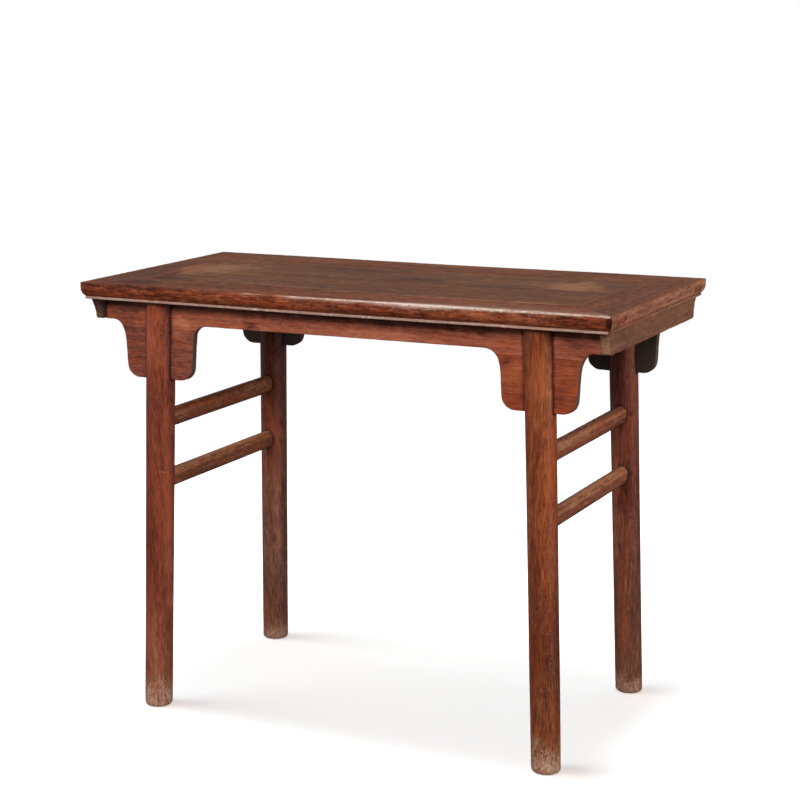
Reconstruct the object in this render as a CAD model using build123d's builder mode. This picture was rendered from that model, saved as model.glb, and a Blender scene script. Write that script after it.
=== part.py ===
from build123d import *
import os

# A recessed-leg side table in hardwood, held together by joinery alone.
# Millimetres. The origin is on the floor under the middle of the top,
# +X runs along the top, -Y is the front and +Z is up.

# ---- driving dimensions: the top ------------------------------------------------
table_height = 800
top_length = 1028
top_depth = 506
frame_thickness = 31
frame_width = 92                # face width of all four frame members
plan_corner_radius = 5          # worn corner of the top, seen from above

# edge moulding: inset from the edge and depth below the top, going down
arris_radius = 2.5
flat_depth = 10
mould_middle = (2.4, 19)
mould_foot = (7.6, 26.3)
mould_foot_heading = (-1, -0.9)
lip_inset = 6.8                 # the square lip stands a little proud of the moulding's foot
lip_ease = 0.9

# corner joints of the frame: the long members carry through tenons
corner_tenon_reach = (186, 226)     # |y| of a tenon's two edges
corner_tenon_depth = 9              # below the top surface
corner_tenon_thickness = 10

# floating panel, and the battens dovetailed across its underside
panel_thickness = 12
panel_gap = 0.4                 # room for the panel to move, each side
tongue_depth = 5.5              # below the top surface
tongue_thickness = 5.5
tongue_length = 8
groove_length = 10
batten_places = {"left": -232, "middle": 0, "right": 232}
batten_width = 36
batten_clearance = 3            # the battens stop this far above the frame's underside
dovetail_height = 4
dovetail_neck = 22
dovetail_flare = 2              # each side
batten_tenon_width, batten_tenon_length, batten_tenon_thickness = 24, 14, 9

# ---- driving dimensions: legs ---------------------------------------------------
leg_top_x, leg_top_y = 369.2, 204.0         # leg axis at the level of the top surface
leg_splay_x, leg_splay_y = 20.5, 19.2       # how far the foot stands further out
leg_foot_creep = {"front_right": 7}         # feet that have crept further out along the table
leg_radius_top, leg_radius_foot = 26.8, 25.5
foot_ease = 5.0
leg_tenon_width, leg_tenon_thickness, leg_tenon_length = 26, 9, 18
leg_tenon_offset = 15           # from the leg axis to the middle of each of its two tenons

# ---- driving dimensions: long aprons and spandrels ------------------------------
board_thickness = 15
apron_underside = 727           # between the legs
apron_end_underside = 729.5     # outside the legs, and under the end aprons
joint_height = 717              # where a spandrel board meets the apron
spandrel_bottom = 624.5
spandrel_corner_radius = 25
cove_inner_reach = 104          # from the leg axis to where each cove starts
cove_outer_reach = 97
cove_points = [(87.5, 724), (78, 717), (73, 706.5), (70, 684)]      # reach, height
cove_end_lean = 0.04            # the cove ends almost upright
foot_reach = 68                 # half-width of a spandrel above its rounded corners
loose_tongue_length, loose_tongue_thickness, loose_tongue_height = 100, 5, 6

# ---- driving dimensions: end aprons ---------------------------------------------
end_apron_face = 501.2          # |x| of the outer face
end_apron_thickness = 14.5
end_apron_edge = [(239, 769), (230.5, 757), (225.5, 746), (223.5, 738)]     # |y|, height
end_apron_headings = [(-0.75, -1), (-0.1, -1)]      # of that curve, at its top and foot
end_apron_corner_radius = 7
housing_depth, housing_thickness = 5, 5     # stub tongues let into the end aprons

# ---- driving dimensions: stretchers ---------------------------------------------
stretcher_levels = {"upper": 545.8, "lower": 431.5}
stretcher_width, stretcher_height = 23, 34.4
stretcher_tenon_width, stretcher_tenon_height = 9, 24
stretcher_tenon_past_axis = 12
peg_radius = 2.5
peg_rise = 3                    # above the middle of the stretcher
peg_past_axis = 6

# ---- worked out from the driving dimensions -------------------------------------
overshoot = 40                  # spare length on blanks that are cut back afterwards
half_length, half_depth = top_length / 2, top_depth / 2
frame_underside = table_height - frame_thickness
opening_x, opening_y = half_length - frame_width, half_depth - frame_width
corner_tenon_width = corner_tenon_reach[1] - corner_tenon_reach[0]
corner_tenon_middle = sum(corner_tenon_reach) / 2
batten_top = table_height - panel_thickness
batten_bottom = frame_underside + batten_clearance
batten_middle = (batten_top + batten_bottom) / 2
end_apron_inner = end_apron_face - end_apron_thickness
sides = {"left": -1, "right": 1}
faces = {"front": -1, "back": 1}
corners = {f"{face}_{side}": (sx, sy) for face, sy in faces.items() for side, sx in sides.items()}

os.makedirs("parts", exist_ok=True)


def finish(part, name):
    """Label a finished piece and write its file."""
    part.label = name
    export_step(part, f"parts/{name}.step")


def leg_axis_at(height, corner=None):
    """|x| and |y| of a leg's axis at a height above the floor; no corner means a leg as it was made."""
    drop = 1 - height / table_height
    splay_x = leg_splay_x + leg_foot_creep.get(corner, 0)
    return leg_top_x + splay_x * drop, leg_top_y + leg_splay_y * drop


def leg_plane(corner):
    """Plane at a foot: z runs up the leg, y is square to the boards in the leg's slot."""
    sx, sy = corners[corner]
    foot_x, foot_y = leg_axis_at(0, corner)
    up_the_leg = (sx * (leg_top_x - foot_x), sy * (leg_top_y - foot_y), table_height)
    return Plane((sx * foot_x, sy * foot_y, 0), x_dir=(1, 0, 0), z_dir=up_the_leg)


def stretcher_x(side, height):
    """|x| of a stretcher, half-way between the axes of the two legs that it joins."""
    return (leg_axis_at(height, f"front_{side}")[0] + leg_axis_at(height, f"back_{side}")[0]) / 2


def board_plane(sy):
    """Middle of a long apron: x along the table, y up the slope of the legs."""
    up_the_slope = Vector(0, -sy * leg_splay_y, table_height)
    foot = (0, sy * (leg_top_y + leg_splay_y), 0)
    return Plane(foot, x_dir=(1, 0, 0), z_dir=Vector(1, 0, 0).cross(up_the_slope))


# ---- shapes that several pieces are cut from or cut with ------------------------
def top_section(half_width):
    """Section across the top with both edges moulded, hung below y = 0."""
    arris = half_width - arris_radius
    lip = half_width - lip_inset
    middle = (half_width - mould_middle[0], -mould_middle[1])
    foot = (half_width - mould_foot[0], -mould_foot[1])
    with BuildSketch() as section:
        with BuildLine():
            Line((0, 0), (arris, 0))
            CenterArc((arris, -arris_radius), arris_radius, 0, 90)
            Line((half_width, -arris_radius), (half_width, -flat_depth))
            Spline((half_width, -flat_depth), middle, foot, tangents=[(0, -1), mould_foot_heading])
            Polyline(
                foot,
                (lip, -mould_foot[1]),
                (lip, lip_ease - frame_thickness),
                (lip - lip_ease, -frame_thickness),
                (0, -frame_thickness),
                (0, 0),
            )
        make_face()
        mirror(about=Plane.YZ)
    return section.sketch


def spandrel_outline(sx):
    """Apron step and spandrel about one leg, drawn up past the top's underside."""
    with BuildSketch() as outline:
        for way, reach, height in (
            (-sx, cove_inner_reach, apron_underside),
            (sx, cove_outer_reach, apron_end_underside),
        ):
            with BuildLine():
                edge = [(way * u, v) for u, v in [(reach, height)] + cove_points]
                curve = Spline(*edge, tangents=[(-way, 0), (-way * cove_end_lean, -1)])
                Polyline(
                    curve @ 1,
                    (way * foot_reach, spandrel_bottom),
                    (0, spandrel_bottom),
                    (0, table_height),
                    (way * reach, table_height),
                    curve @ 0,
                )
            make_face()
        feet = outline.vertices().group_by(Axis.Y)[0].sort_by(Axis.X)
        fillet([feet[0], feet[-1]], spandrel_corner_radius)
    return outline.sketch


# the whole moulded top in one piece: its long section crossed with its short one
with BuildPart() as top_blank:
    with BuildSketch(Plane.XZ.offset(-half_depth - overshoot)):
        with Locations((0, table_height)):
            add(top_section(half_length))
    extrude(amount=top_depth + 2 * overshoot)
    with BuildSketch(Plane.YZ.offset(-half_length - overshoot)):
        with Locations((0, table_height)):
            add(top_section(half_depth))
    extrude(amount=top_length + 2 * overshoot, mode=Mode.INTERSECT)
    with BuildSketch(Plane.XY.offset(frame_underside)):
        RectangleRounded(top_length, top_depth, plan_corner_radius)
    extrude(amount=frame_thickness, mode=Mode.INTERSECT)

# the through tenons of the frame's corners, the pair on each long member
corner_tenons = {}
for face, sy in faces.items():
    with BuildPart() as tenon_pair:
        with BuildSketch(Plane.XY.offset(table_height - corner_tenon_depth)):
            ends = half_length - frame_width / 2
            with Locations((-ends, sy * corner_tenon_middle), (ends, sy * corner_tenon_middle)):
                Rectangle(frame_width, corner_tenon_width)
        extrude(amount=-corner_tenon_thickness)
    corner_tenons[face] = tenon_pair.part

# the groove that runs round the inside of the frame
with BuildPart() as panel_groove:
    with BuildSketch(Plane.XY.offset(table_height - tongue_depth)):
        Rectangle(2 * (opening_x + groove_length), 2 * (opening_y + groove_length))
    extrude(amount=-tongue_thickness)

# the two tenons on top of each leg, cut off level
leg_tenons = {}
for corner in corners:
    with BuildPart() as tenons:
        with BuildSketch(leg_plane(corner)):
            with Locations((0, leg_tenon_offset), (0, -leg_tenon_offset)):
                Rectangle(leg_tenon_width, leg_tenon_thickness)
        extrude(amount=table_height + overshoot)
        split(bisect_by=Plane.XY.offset(frame_underside), keep=Keep.TOP)
        split(bisect_by=Plane.XY.offset(frame_underside + leg_tenon_length), keep=Keep.BOTTOM)
    leg_tenons[corner] = tenons.part

# each leg as a plain tapered round bar from the floor to the underside of the frame
leg_bars = {}
for corner in corners:
    taper = (leg_radius_top - leg_radius_foot) / table_height
    with BuildPart() as bar:
        with BuildSketch(leg_plane(corner).offset(-overshoot)):
            Circle(leg_radius_foot - taper * overshoot)
        with BuildSketch(leg_plane(corner).offset(table_height + overshoot)):
            Circle(leg_radius_top + taper * overshoot)
        loft()
        split(bisect_by=Plane.XY, keep=Keep.TOP)
        split(bisect_by=Plane.XY.offset(frame_underside), keep=Keep.BOTTOM)
    leg_bars[corner] = bar.part

# the bar inside each stretcher that makes the tenon at both of its ends
stretcher_tenons = {}
for side, sx in sides.items():
    for level, height in stretcher_levels.items():
        axis_y = leg_axis_at(height)[1]
        with BuildPart() as tenon_bar:
            with Locations((sx * stretcher_x(side, height), 0, height)):
                tenon_bar_length = 2 * (axis_y + stretcher_tenon_past_axis)
                Box(stretcher_tenon_width, tenon_bar_length, stretcher_tenon_height)
        stretcher_tenons[side, level] = tenon_bar.part

# pegs that pin the stretcher tenons, driven in half-way between the side and the stretcher
pegs = {}
for corner, (sx, sy) in corners.items():
    for level, height in stretcher_levels.items():
        axis_x, axis_y = leg_axis_at(height + peg_rise, corner)
        outward = Vector(sx, -sy, 0).normalized()
        start = Vector(sx * axis_x, sy * axis_y, height + peg_rise) - outward * peg_past_axis
        with BuildPart() as peg:
            with BuildSketch(Plane(start, z_dir=outward)):
                Circle(peg_radius)
            extrude(amount=peg_past_axis + leg_radius_top + overshoot)
            add(leg_bars[corner], mode=Mode.INTERSECT)
        pegs[corner, level] = peg.part

# ---- battens: a bar, a dovetail key along its top and a tenon at each end --------
battens = {}
for place, x in batten_places.items():
    with BuildPart() as batten:
        with BuildSketch(Plane.XZ.offset(-opening_y)):
            with Locations((x, batten_middle)):
                Rectangle(batten_width, batten_top - batten_bottom)
            with BuildLine():
                neck, head = dovetail_neck / 2, dovetail_neck / 2 + dovetail_flare
                Polyline(
                    (x - neck, batten_top),
                    (x + neck, batten_top),
                    (x + head, batten_top + dovetail_height),
                    (x - head, batten_top + dovetail_height),
                    close=True,
                )
            make_face()
        extrude(amount=2 * opening_y)
        with Locations((x, 0, batten_middle)):
            tenon_to_tenon = 2 * (opening_y + batten_tenon_length)
            Box(batten_tenon_width, tenon_to_tenon, batten_tenon_thickness)
    battens[place] = batten.part
    finish(batten.part, f"batten_{place}")

# ---- floating panel: a board with a tongue all round, grooved for the battens ----
with BuildPart() as panel:
    with BuildSketch(Plane.XY.offset(table_height)):
        Rectangle(2 * (opening_x - panel_gap), 2 * (opening_y - panel_gap))
    extrude(amount=-panel_thickness)
    with BuildSketch(Plane.XY.offset(table_height - tongue_depth)):
        Rectangle(2 * (opening_x + tongue_length), 2 * (opening_y + tongue_length))
    extrude(amount=-tongue_thickness)
    for batten_part in battens.values():
        add(batten_part, mode=Mode.SUBTRACT)
finish(panel.part, "top_panel")

# ---- long members of the frame: a mitred length of the blank, with its tenons ----
for face, sy in faces.items():
    with BuildPart() as rail:
        with BuildSketch(Plane.XY.offset(frame_underside)):
            with BuildLine():
                Polyline(
                    (-half_length, sy * half_depth),
                    (half_length, sy * half_depth),
                    (opening_x, sy * opening_y),
                    (-opening_x, sy * opening_y),
                    close=True,
                )
            make_face()
        extrude(amount=frame_thickness)
        add(corner_tenons[face])
        add(top_blank.part, mode=Mode.INTERSECT)
        add(panel_groove.part, mode=Mode.SUBTRACT)
        for batten_part in battens.values():
            add(batten_part, mode=Mode.SUBTRACT)
        for side in sides:
            add(leg_tenons[f"{face}_{side}"], mode=Mode.SUBTRACT)
    finish(rail.part, f"top_{face}_rail")

# ---- end members of the frame: mitred too, and mortised right through -----------
for side, sx in sides.items():
    with BuildPart() as rail:
        with BuildSketch(Plane.XY.offset(frame_underside)):
            with BuildLine():
                Polyline(
                    (sx * half_length, -half_depth),
                    (sx * half_length, half_depth),
                    (sx * opening_x, opening_y),
                    (sx * opening_x, -opening_y),
                    close=True,
                )
            make_face()
        extrude(amount=frame_thickness)
        add(top_blank.part, mode=Mode.INTERSECT)
        add(panel_groove.part, mode=Mode.SUBTRACT)
        for tenon_pair_part in corner_tenons.values():
            add(tenon_pair_part, mode=Mode.SUBTRACT)
    finish(rail.part, f"top_{side}_end_rail")

# ---- spandrels and long aprons, one board cut at the joint line ------------------
spandrel_centre = leg_axis_at((joint_height + spandrel_bottom) / 2)[0]
aprons = {}
for face, sy in faces.items():
    spandrels = {}
    for side, sx in sides.items():
        with BuildPart() as spandrel:
            with BuildSketch(board_plane(sy)):
                with Locations((sx * spandrel_centre, 0)):
                    add(spandrel_outline(sx))
                with Locations((0, joint_height)):
                    above_joint = (Align.CENTER, Align.MIN)
                    Rectangle(top_length, table_height, align=above_joint, mode=Mode.SUBTRACT)
            extrude(amount=board_thickness / 2, both=True)
            with BuildSketch(board_plane(sy)):
                with Locations((sx * spandrel_centre, joint_height)):
                    Rectangle(loose_tongue_length, 2 * loose_tongue_height)
            extrude(amount=loose_tongue_thickness / 2, both=True)
        spandrels[side] = spandrel.part
        finish(spandrel.part, f"spandrel_{face}_{side}")

    with BuildPart() as apron:
        with BuildSketch(board_plane(sy)):
            for reach, underside in (
                (end_apron_inner, apron_end_underside),
                (spandrel_centre, apron_underside),
            ):
                with Locations((0, underside)):
                    Rectangle(2 * reach, table_height - underside, align=(Align.CENTER, Align.MIN))
            for sx in sides.values():
                with Locations((sx * spandrel_centre, 0)):
                    add(spandrel_outline(sx))
            with Locations((0, joint_height)):
                below_joint = (Align.CENTER, Align.MAX)
                Rectangle(top_length, table_height, align=below_joint, mode=Mode.SUBTRACT)
        extrude(amount=board_thickness / 2, both=True)
        with BuildSketch(board_plane(sy)):
            with Locations((0, apron_end_underside)):
                Rectangle(
                    2 * (end_apron_inner + housing_depth),
                    table_height - apron_end_underside,
                    align=(Align.CENTER, Align.MIN),
                )
        extrude(amount=housing_thickness / 2, both=True)
        split(bisect_by=Plane.XY.offset(frame_underside), keep=Keep.BOTTOM)
        for spandrel_part in spandrels.values():
            add(spandrel_part, mode=Mode.SUBTRACT)
    aprons[face] = apron.part
    finish(apron.part, f"{face}_apron")

# ---- end aprons: shaped ends, housed for the long aprons -------------------------
for side, sx in sides.items():
    with BuildPart() as end_apron:
        with BuildSketch(Plane.YZ.offset(sx * end_apron_inner)) as end_outline:
            with BuildLine():
                curve = Spline(*end_apron_edge, tangents=end_apron_headings)
                Polyline(
                    curve @ 1,
                    (end_apron_edge[-1][0], apron_end_underside),
                    (0, apron_end_underside),
                    (0, frame_underside),
                    curve @ 0,
                )
            make_face()
            lower_corner = end_outline.vertices().group_by(Axis.Y)[0].sort_by(Axis.X)[-1]
            fillet(lower_corner, end_apron_corner_radius)
            mirror(about=Plane.YZ)
        extrude(amount=sx * end_apron_thickness)
        for apron_part in aprons.values():
            add(apron_part, mode=Mode.SUBTRACT)
    finish(end_apron.part, f"{side}_end_apron")

# ---- stretchers: oval bars with shoulders scribed to the round legs --------------
for side, sx in sides.items():
    for level, height in stretcher_levels.items():
        axis_y = leg_axis_at(height)[1]
        with BuildPart() as stretcher:
            with BuildSketch(Plane.XZ.offset(-axis_y)):
                with Locations((sx * stretcher_x(side, height), height)):
                    Ellipse(stretcher_width / 2, stretcher_height / 2)
            extrude(amount=2 * axis_y)
            for face in faces:
                add(leg_bars[f"{face}_{side}"], mode=Mode.SUBTRACT)
            add(stretcher_tenons[side, level])
            for face in faces:
                add(pegs[f"{face}_{side}", level], mode=Mode.SUBTRACT)
        finish(stretcher.part, f"stretcher_{side}_{level}")

with BuildPart() as stretcher_pegs:
    for peg_part in pegs.values():
        add(peg_part)
finish(stretcher_pegs.part, "stretcher_pegs")

# ---- legs: slotted for the boards, tenoned into the top, mortised below ----------
for corner, (sx, sy) in corners.items():
    side = "left" if sx < 0 else "right"
    with BuildPart() as leg:
        add(leg_bars[corner])
        fillet(leg.faces().sort_by(Axis.Z)[0].edges(), foot_ease)
        with BuildSketch(board_plane(sy)):
            with Locations((sx * leg_top_x, spandrel_bottom)):
                slot_width = 4 * leg_radius_top
                Rectangle(slot_width, table_height, align=(Align.CENTER, Align.MIN))
        extrude(amount=board_thickness / 2, both=True, mode=Mode.SUBTRACT)
        add(leg_tenons[corner])
        for level in stretcher_levels:
            add(stretcher_tenons[side, level], mode=Mode.SUBTRACT)
            add(pegs[corner, level], mode=Mode.SUBTRACT)
    finish(leg.part, f"leg_{corner}")
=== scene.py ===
"""Dress the recessed-leg altar table in worn, waxed hardwood, in a plain white studio.

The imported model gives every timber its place. Each one is modelled again here with its
hand-worked faces, worn arrises and open joints, and stands for its node.
"""

from __future__ import annotations

import logging
import math
from dataclasses import dataclass, field, replace
from enum import Enum
from typing import Callable, Iterable, Sequence

import bmesh
import bpy
import numpy as np
from bmesh.types import BMEdge, BMesh, BMFace, BMVert
from bpy.types import ID, Material, Node, NodeOutputs, NodeSocket, NodeTree, Object
from mathutils import Matrix, Vector, noise
from mathutils.bvhtree import BVHTree
from mathutils.geometry import interpolate_bezier
from mathutils.kdtree import KDTree

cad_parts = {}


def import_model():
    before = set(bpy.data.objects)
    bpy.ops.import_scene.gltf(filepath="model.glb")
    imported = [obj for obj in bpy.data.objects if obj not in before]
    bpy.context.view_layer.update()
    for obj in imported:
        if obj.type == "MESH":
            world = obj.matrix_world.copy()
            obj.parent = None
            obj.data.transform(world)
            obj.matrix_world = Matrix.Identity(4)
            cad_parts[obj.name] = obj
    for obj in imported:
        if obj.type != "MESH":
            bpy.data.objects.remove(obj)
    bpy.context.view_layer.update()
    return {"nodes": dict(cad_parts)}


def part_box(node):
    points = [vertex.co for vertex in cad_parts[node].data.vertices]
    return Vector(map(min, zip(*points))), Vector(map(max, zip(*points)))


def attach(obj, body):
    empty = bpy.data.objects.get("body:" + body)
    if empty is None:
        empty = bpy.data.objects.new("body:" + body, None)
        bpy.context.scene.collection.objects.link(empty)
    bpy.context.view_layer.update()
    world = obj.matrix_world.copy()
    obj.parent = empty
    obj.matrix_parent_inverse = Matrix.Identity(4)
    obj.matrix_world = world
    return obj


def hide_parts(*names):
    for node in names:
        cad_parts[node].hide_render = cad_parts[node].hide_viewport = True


LOG = logging.getLogger("altar_table")
MM = 0.001
BODY = "root"
ALONG = Vector((1.0, 0.0, 0.0))
ACROSS = Vector((0.0, 1.0, 0.0))
UP = Vector((0.0, 0.0, 1.0))
WHITE = (1.0, 1.0, 1.0, 1.0)
DOUBLES = 1e-6

Rgb = tuple[int, int, int]
Colour = tuple[float, float, float, float]
Triple = tuple[float, float, float]
Pair = tuple[float, float]
Rule = Callable[[Vector], float]
FacedRule = Callable[[Vector, Vector], float]


# ---- colour and node helpers ----
def paint(red: int, green: int, blue: int) -> Colour:
    """Turn a display colour into the linear colour that a shader takes.

    Args:
        red: Red, 0 to 255.
        green: Green, 0 to 255.
        blue: Blue, 0 to 255.

    Returns:
        The linear colour, opaque.
    """

    def linear(value: int) -> float:
        """Return one channel without the display's curve."""
        share = value / 255
        return share / 12.92 if share <= 0.04045 else ((share + 0.055) / 1.055) ** 2.4

    return linear(red), linear(green), linear(blue), 1.0


@dataclass(frozen=True)
class Pattern:
    """A noise: how many bumps a metre along each axis, and how fine and twisted they are."""

    scales: Triple
    detail: float = 2.0
    roughness: float = 0.5
    distortion: float = 0.0


class Graph:
    """Adds nodes to one node tree and wires them by socket."""

    def __init__(self, tree: NodeTree) -> None:
        """Start on a tree, emptied first."""
        tree.nodes.clear()
        self.tree = tree

    def add(self, kind: str, values: dict | None = None, **settings: object) -> Node:
        """Add a node.

        Args:
            kind: The node's type, without its ShaderNode prefix.
            values: The output or plain value that each named or numbered input gets.
            settings: The node's own properties.

        Returns:
            The new node.
        """
        node = self.tree.nodes.new(kind if kind.startswith("Node") else "ShaderNode" + kind)
        for name, setting in settings.items():
            setattr(node, name, setting)
        for key, value in (values or {}).items():
            if isinstance(value, NodeSocket):
                self.tree.links.new(value, node.inputs[key])
            else:
                node.inputs[key].default_value = value
        return node

    def math(self, operation: str, *values: object, clamp: bool = False) -> NodeSocket:
        """Return the output of a Math node fed with the given values."""
        node = self.add("Math", dict(enumerate(values)), operation=operation, use_clamp=clamp)
        return node.outputs[0]

    def times(self, value: object, weight: object, clamp: bool = False) -> NodeSocket:
        """Return value * weight."""
        return self.math("MULTIPLY", value, weight, clamp=clamp)

    def weigh(self, value: object, weight: object) -> NodeSocket:
        """Return how far a value is from a half, times a weight."""
        return self.times(self.math("SUBTRACT", value, 0.5), weight)

    def total(self, *values: object) -> NodeSocket:
        """Add values up.

        Args:
            values: Two or more outputs or numbers.

        Returns:
            Their sum.
        """
        result = values[0]
        for value in values[1:]:
            result = self.math("ADD", result, value)
        return result

    def mask(self, value: object, low: float, high: float) -> NodeSocket:
        """Return a smooth 0 to 1 step of the value between low and high."""
        values = {"Value": value, "From Min": low, "From Max": high}
        return self.add("MapRange", values, interpolation_type="SMOOTHSTEP").outputs[0]

    def noise(self, vector: object, pattern: Pattern) -> NodeSocket:
        """Add a noise.

        Args:
            vector: The coordinates, in metres.
            pattern: What the noise is like.

        Returns:
            Its value.
        """
        place = {0: vector, 1: pattern.scales}
        values = {
            "Vector": self.add("VectorMath", place, operation="MULTIPLY").outputs[0],
            "Scale": 1.0,
            "Detail": pattern.detail,
            "Roughness": pattern.roughness,
            "Distortion": pattern.distortion,
        }
        return self.add("TexNoise", values).outputs[0]

    def turned(self, vector: object, angles: Triple, centre: Triple = (0, 0, 0)) -> NodeSocket:
        """Return coordinates turned by angles in radians and moved to a centre."""
        values = {"Vector": vector, "Location": centre, "Rotation": angles}
        return self.add("Mapping", values).outputs[0]

    def mix(self, share: object, first: object, second: object, blend: str = "MIX") -> NodeSocket:
        """Return a blend of two colours."""
        values, kind = {0: share, 6: first, 7: second}, {"data_type": "RGBA", "blend_type": blend}
        return self.add("Mix", values, clamp_factor=True, **kind).outputs[2]


class Shared:
    """A node group with named inputs and outputs, built once and used by many materials."""

    def __init__(self, name: str, takes: dict[str, Sequence[str]], gives: Sequence[str]) -> None:
        """Make the group's interface.

        Args:
            name: The group's name.
            takes: The labels of its inputs, by the kind of their sockets.
            gives: The labels of its outputs; Color is a colour and the others are values.
        """
        self.tree = bpy.data.node_groups.new(name, "ShaderNodeTree")
        self.graph = Graph(self.tree)
        face = self.tree.interface
        for kind, labels in takes.items():
            for label in labels:
                face.new_socket(label, in_out="INPUT", socket_type="NodeSocket" + kind)
        for label in gives:
            kind = "NodeSocketColor" if label == "Color" else "NodeSocketFloat"
            face.new_socket(label, in_out="OUTPUT", socket_type=kind)
        self.inputs = self.graph.add("NodeGroupInput").outputs
        self.sink = self.graph.add("NodeGroupOutput")

    def give(self, **outputs: NodeSocket) -> None:
        """Link the named outputs."""
        for label, value in outputs.items():
            self.tree.links.new(value, self.sink.inputs[label])

    def use(self, graph: Graph, **values: object) -> NodeOutputs:
        """Place the group, whose inputs are named with underscores, and return its outputs."""
        named = {label.replace("_", " "): value for label, value in values.items()}
        return graph.add("Group", named, node_tree=self.tree).outputs


# ---- the effects that all timbers share ----
def figure_group() -> Shared:
    """Make the timber's figure from coordinates with X along the grain.

    Returns:
        The group.
    """
    sway = Pattern((2.4, 16.0, 16.0), 3.0, 0.55)
    pores = Pattern((48.0, 720.0, 720.0), 2.0, 0.6)
    streaks = Pattern((2.2, 60.0, 60.0), 4.0, 0.62, 0.15)
    fibre = Pattern((34.0, 520.0, 520.0), 3.0, 0.68)
    cloud = Pattern((3.5, 13.0, 13.0), 3.0, 0.5, 0.4)
    mottle = Pattern((60.0, 150.0, 150.0), 5.0, 0.74, 0.6)
    blush = Pattern((5.0, 42.0, 42.0), 4.0, 0.6, 0.3)
    late_wood_sharpness = 1.6
    takes = {"Vector": ("Vector",), "Float": ("Ring Width", "Waver")}
    gives = ("Rings", "Streaks", "Fibre", "Pores", "Cloud", "Mottle", "Blush")
    group = Shared("timber_figure", takes, gives)
    g, vector = group.graph, group.inputs["Vector"]
    axes = g.add("SeparateXYZ", {0: vector}).outputs
    squares = g.total(g.math("POWER", axes[1], 2.0), g.math("POWER", axes[2], 2.0))
    from_heart = g.math("POWER", squares, 0.5)
    swayed = g.total(from_heart, g.weigh(g.noise(vector, sway), group.inputs["Waver"]))
    turns = g.math("FRACT", g.math("DIVIDE", swayed, group.inputs["Ring Width"]))
    folded = g.math("PINGPONG", g.times(turns, 2.0), 1.0)
    group.give(
        Rings=g.math("POWER", folded, late_wood_sharpness),
        Pores=g.mask(g.noise(vector, pores), 0.58, 0.72),
        Streaks=g.noise(vector, streaks),
        Fibre=g.noise(vector, fibre),
        Cloud=g.noise(vector, cloud),
        Mottle=g.noise(vector, mottle),
        Blush=g.mask(g.noise(vector, blush), 0.50, 0.74),
    )
    return group


def colour_group() -> Shared:
    """Turn figure and tone into the timber's colour.

    Returns:
        The group.
    """
    cloud_share, pore_depth = 0.80, 0.60
    figure = ("Rings", "Streaks", "Fibre", "Pores", "Cloud", "Mottle", "Blush")
    shares = ("Ring Share", "Streak Share", "Fibre Share", "Mottle Share", "Warmth")
    colours = ("Dark", "Middle", "Light", "Warm", "Age Tint")
    takes = {"Float": figure + ("Tone", "Aged") + shares, "Color": colours}
    group = Shared("timber_colour", takes, ("Color",))
    g, given = group.graph, group.inputs
    tone = g.total(
        0.5,
        g.weigh(given["Rings"], given["Ring Share"]),
        g.weigh(given["Streaks"], given["Streak Share"]),
        g.weigh(given["Fibre"], given["Fibre Share"]),
        g.weigh(given["Cloud"], cloud_share),
        g.weigh(given["Mottle"], given["Mottle Share"]),
        given["Tone"],
    )
    deep = g.mix(g.times(tone, 2.0, clamp=True), given["Dark"], given["Middle"])
    above_half = g.times(g.math("SUBTRACT", tone, 0.5), 2.0, clamp=True)
    bright = g.mix(above_half, deep, given["Light"])
    flushed = g.times(g.times(given["Blush"], given["Warmth"]), tone, clamp=True)
    bright = g.mix(flushed, bright, given["Warm"])
    pitted = g.mix(g.times(given["Pores"], pore_depth), bright, given["Dark"])
    group.give(Color=g.mix(given["Aged"], pitted, given["Age Tint"], "MULTIPLY"))
    return group


def wear_group() -> Shared:
    """Rub arrises pale and chip them to bare wood, in short strokes that lean over the grain.

    Returns:
        The group.
    """
    lean = (0.0, 0.32, -0.32)
    broken = Pattern((60.0, 330.0, 330.0), 4.0, 0.7)
    flecks = Pattern((45.0, 360.0, 360.0), 2.0, 0.6, 0.3)
    rub_cover = 0.85
    takes = {"Color": ("Color", "Rubbed", "Bare"), "Float": ("Wear",), "Vector": ("Vector",)}
    group = Shared("edge_wear", takes, ("Color", "Mask"))
    g, given = group.graph, group.inputs
    slanted = g.turned(given["Vector"], lean)
    rough = g.noise(given["Vector"], broken)
    strokes = g.noise(slanted, flecks)
    rubbed = g.mask(g.total(given["Wear"], g.weigh(rough, 1.2)), 0.28, 0.95)
    bare = g.mask(g.total(given["Wear"], g.weigh(strokes, 3.0)), 1.00, 1.45)
    rubbed = g.times(rubbed, rub_cover)
    colour = g.mix(bare, g.mix(rubbed, given["Color"], given["Rubbed"]), given["Bare"])
    group.give(Color=colour, Mask=g.math("MAXIMUM", rubbed, bare))
    return group


def grime_and_shade_group() -> Shared:
    """Lay dirt and painted shade in the joints, and black lacquer on the hidden faces.

    Returns:
        The group.
    """
    patchy = Pattern((40.0, 90.0, 90.0), 4.0, 0.65)
    dirt_and_shade_cover, lacquer_cover = 0.92, 0.96
    takes = {
        "Color": ("Color", "Dirt", "Lacquer"),
        "Float": ("Grime", "Inside"),
        "Vector": ("Vector",),
    }
    group = Shared("grime_and_lacquer", takes, ("Color", "Mask"))
    g, given = group.graph, group.inputs
    patches = g.noise(given["Vector"], patchy)
    # dirt and painted shade: near-black within a few millimetres of another part
    dirty = g.mask(g.total(given["Grime"], g.weigh(patches, 0.5)), 0.15, 1.0)
    coated = g.mask(g.total(given["Inside"], g.weigh(patches, 0.35)), 0.25, 0.70)
    colour = g.mix(g.times(dirty, dirt_and_shade_cover), given["Color"], given["Dirt"])
    colour = g.mix(g.times(coated, lacquer_cover), colour, given["Lacquer"])
    group.give(Color=colour, Mask=g.math("MAXIMUM", dirty, coated))
    return group


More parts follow.
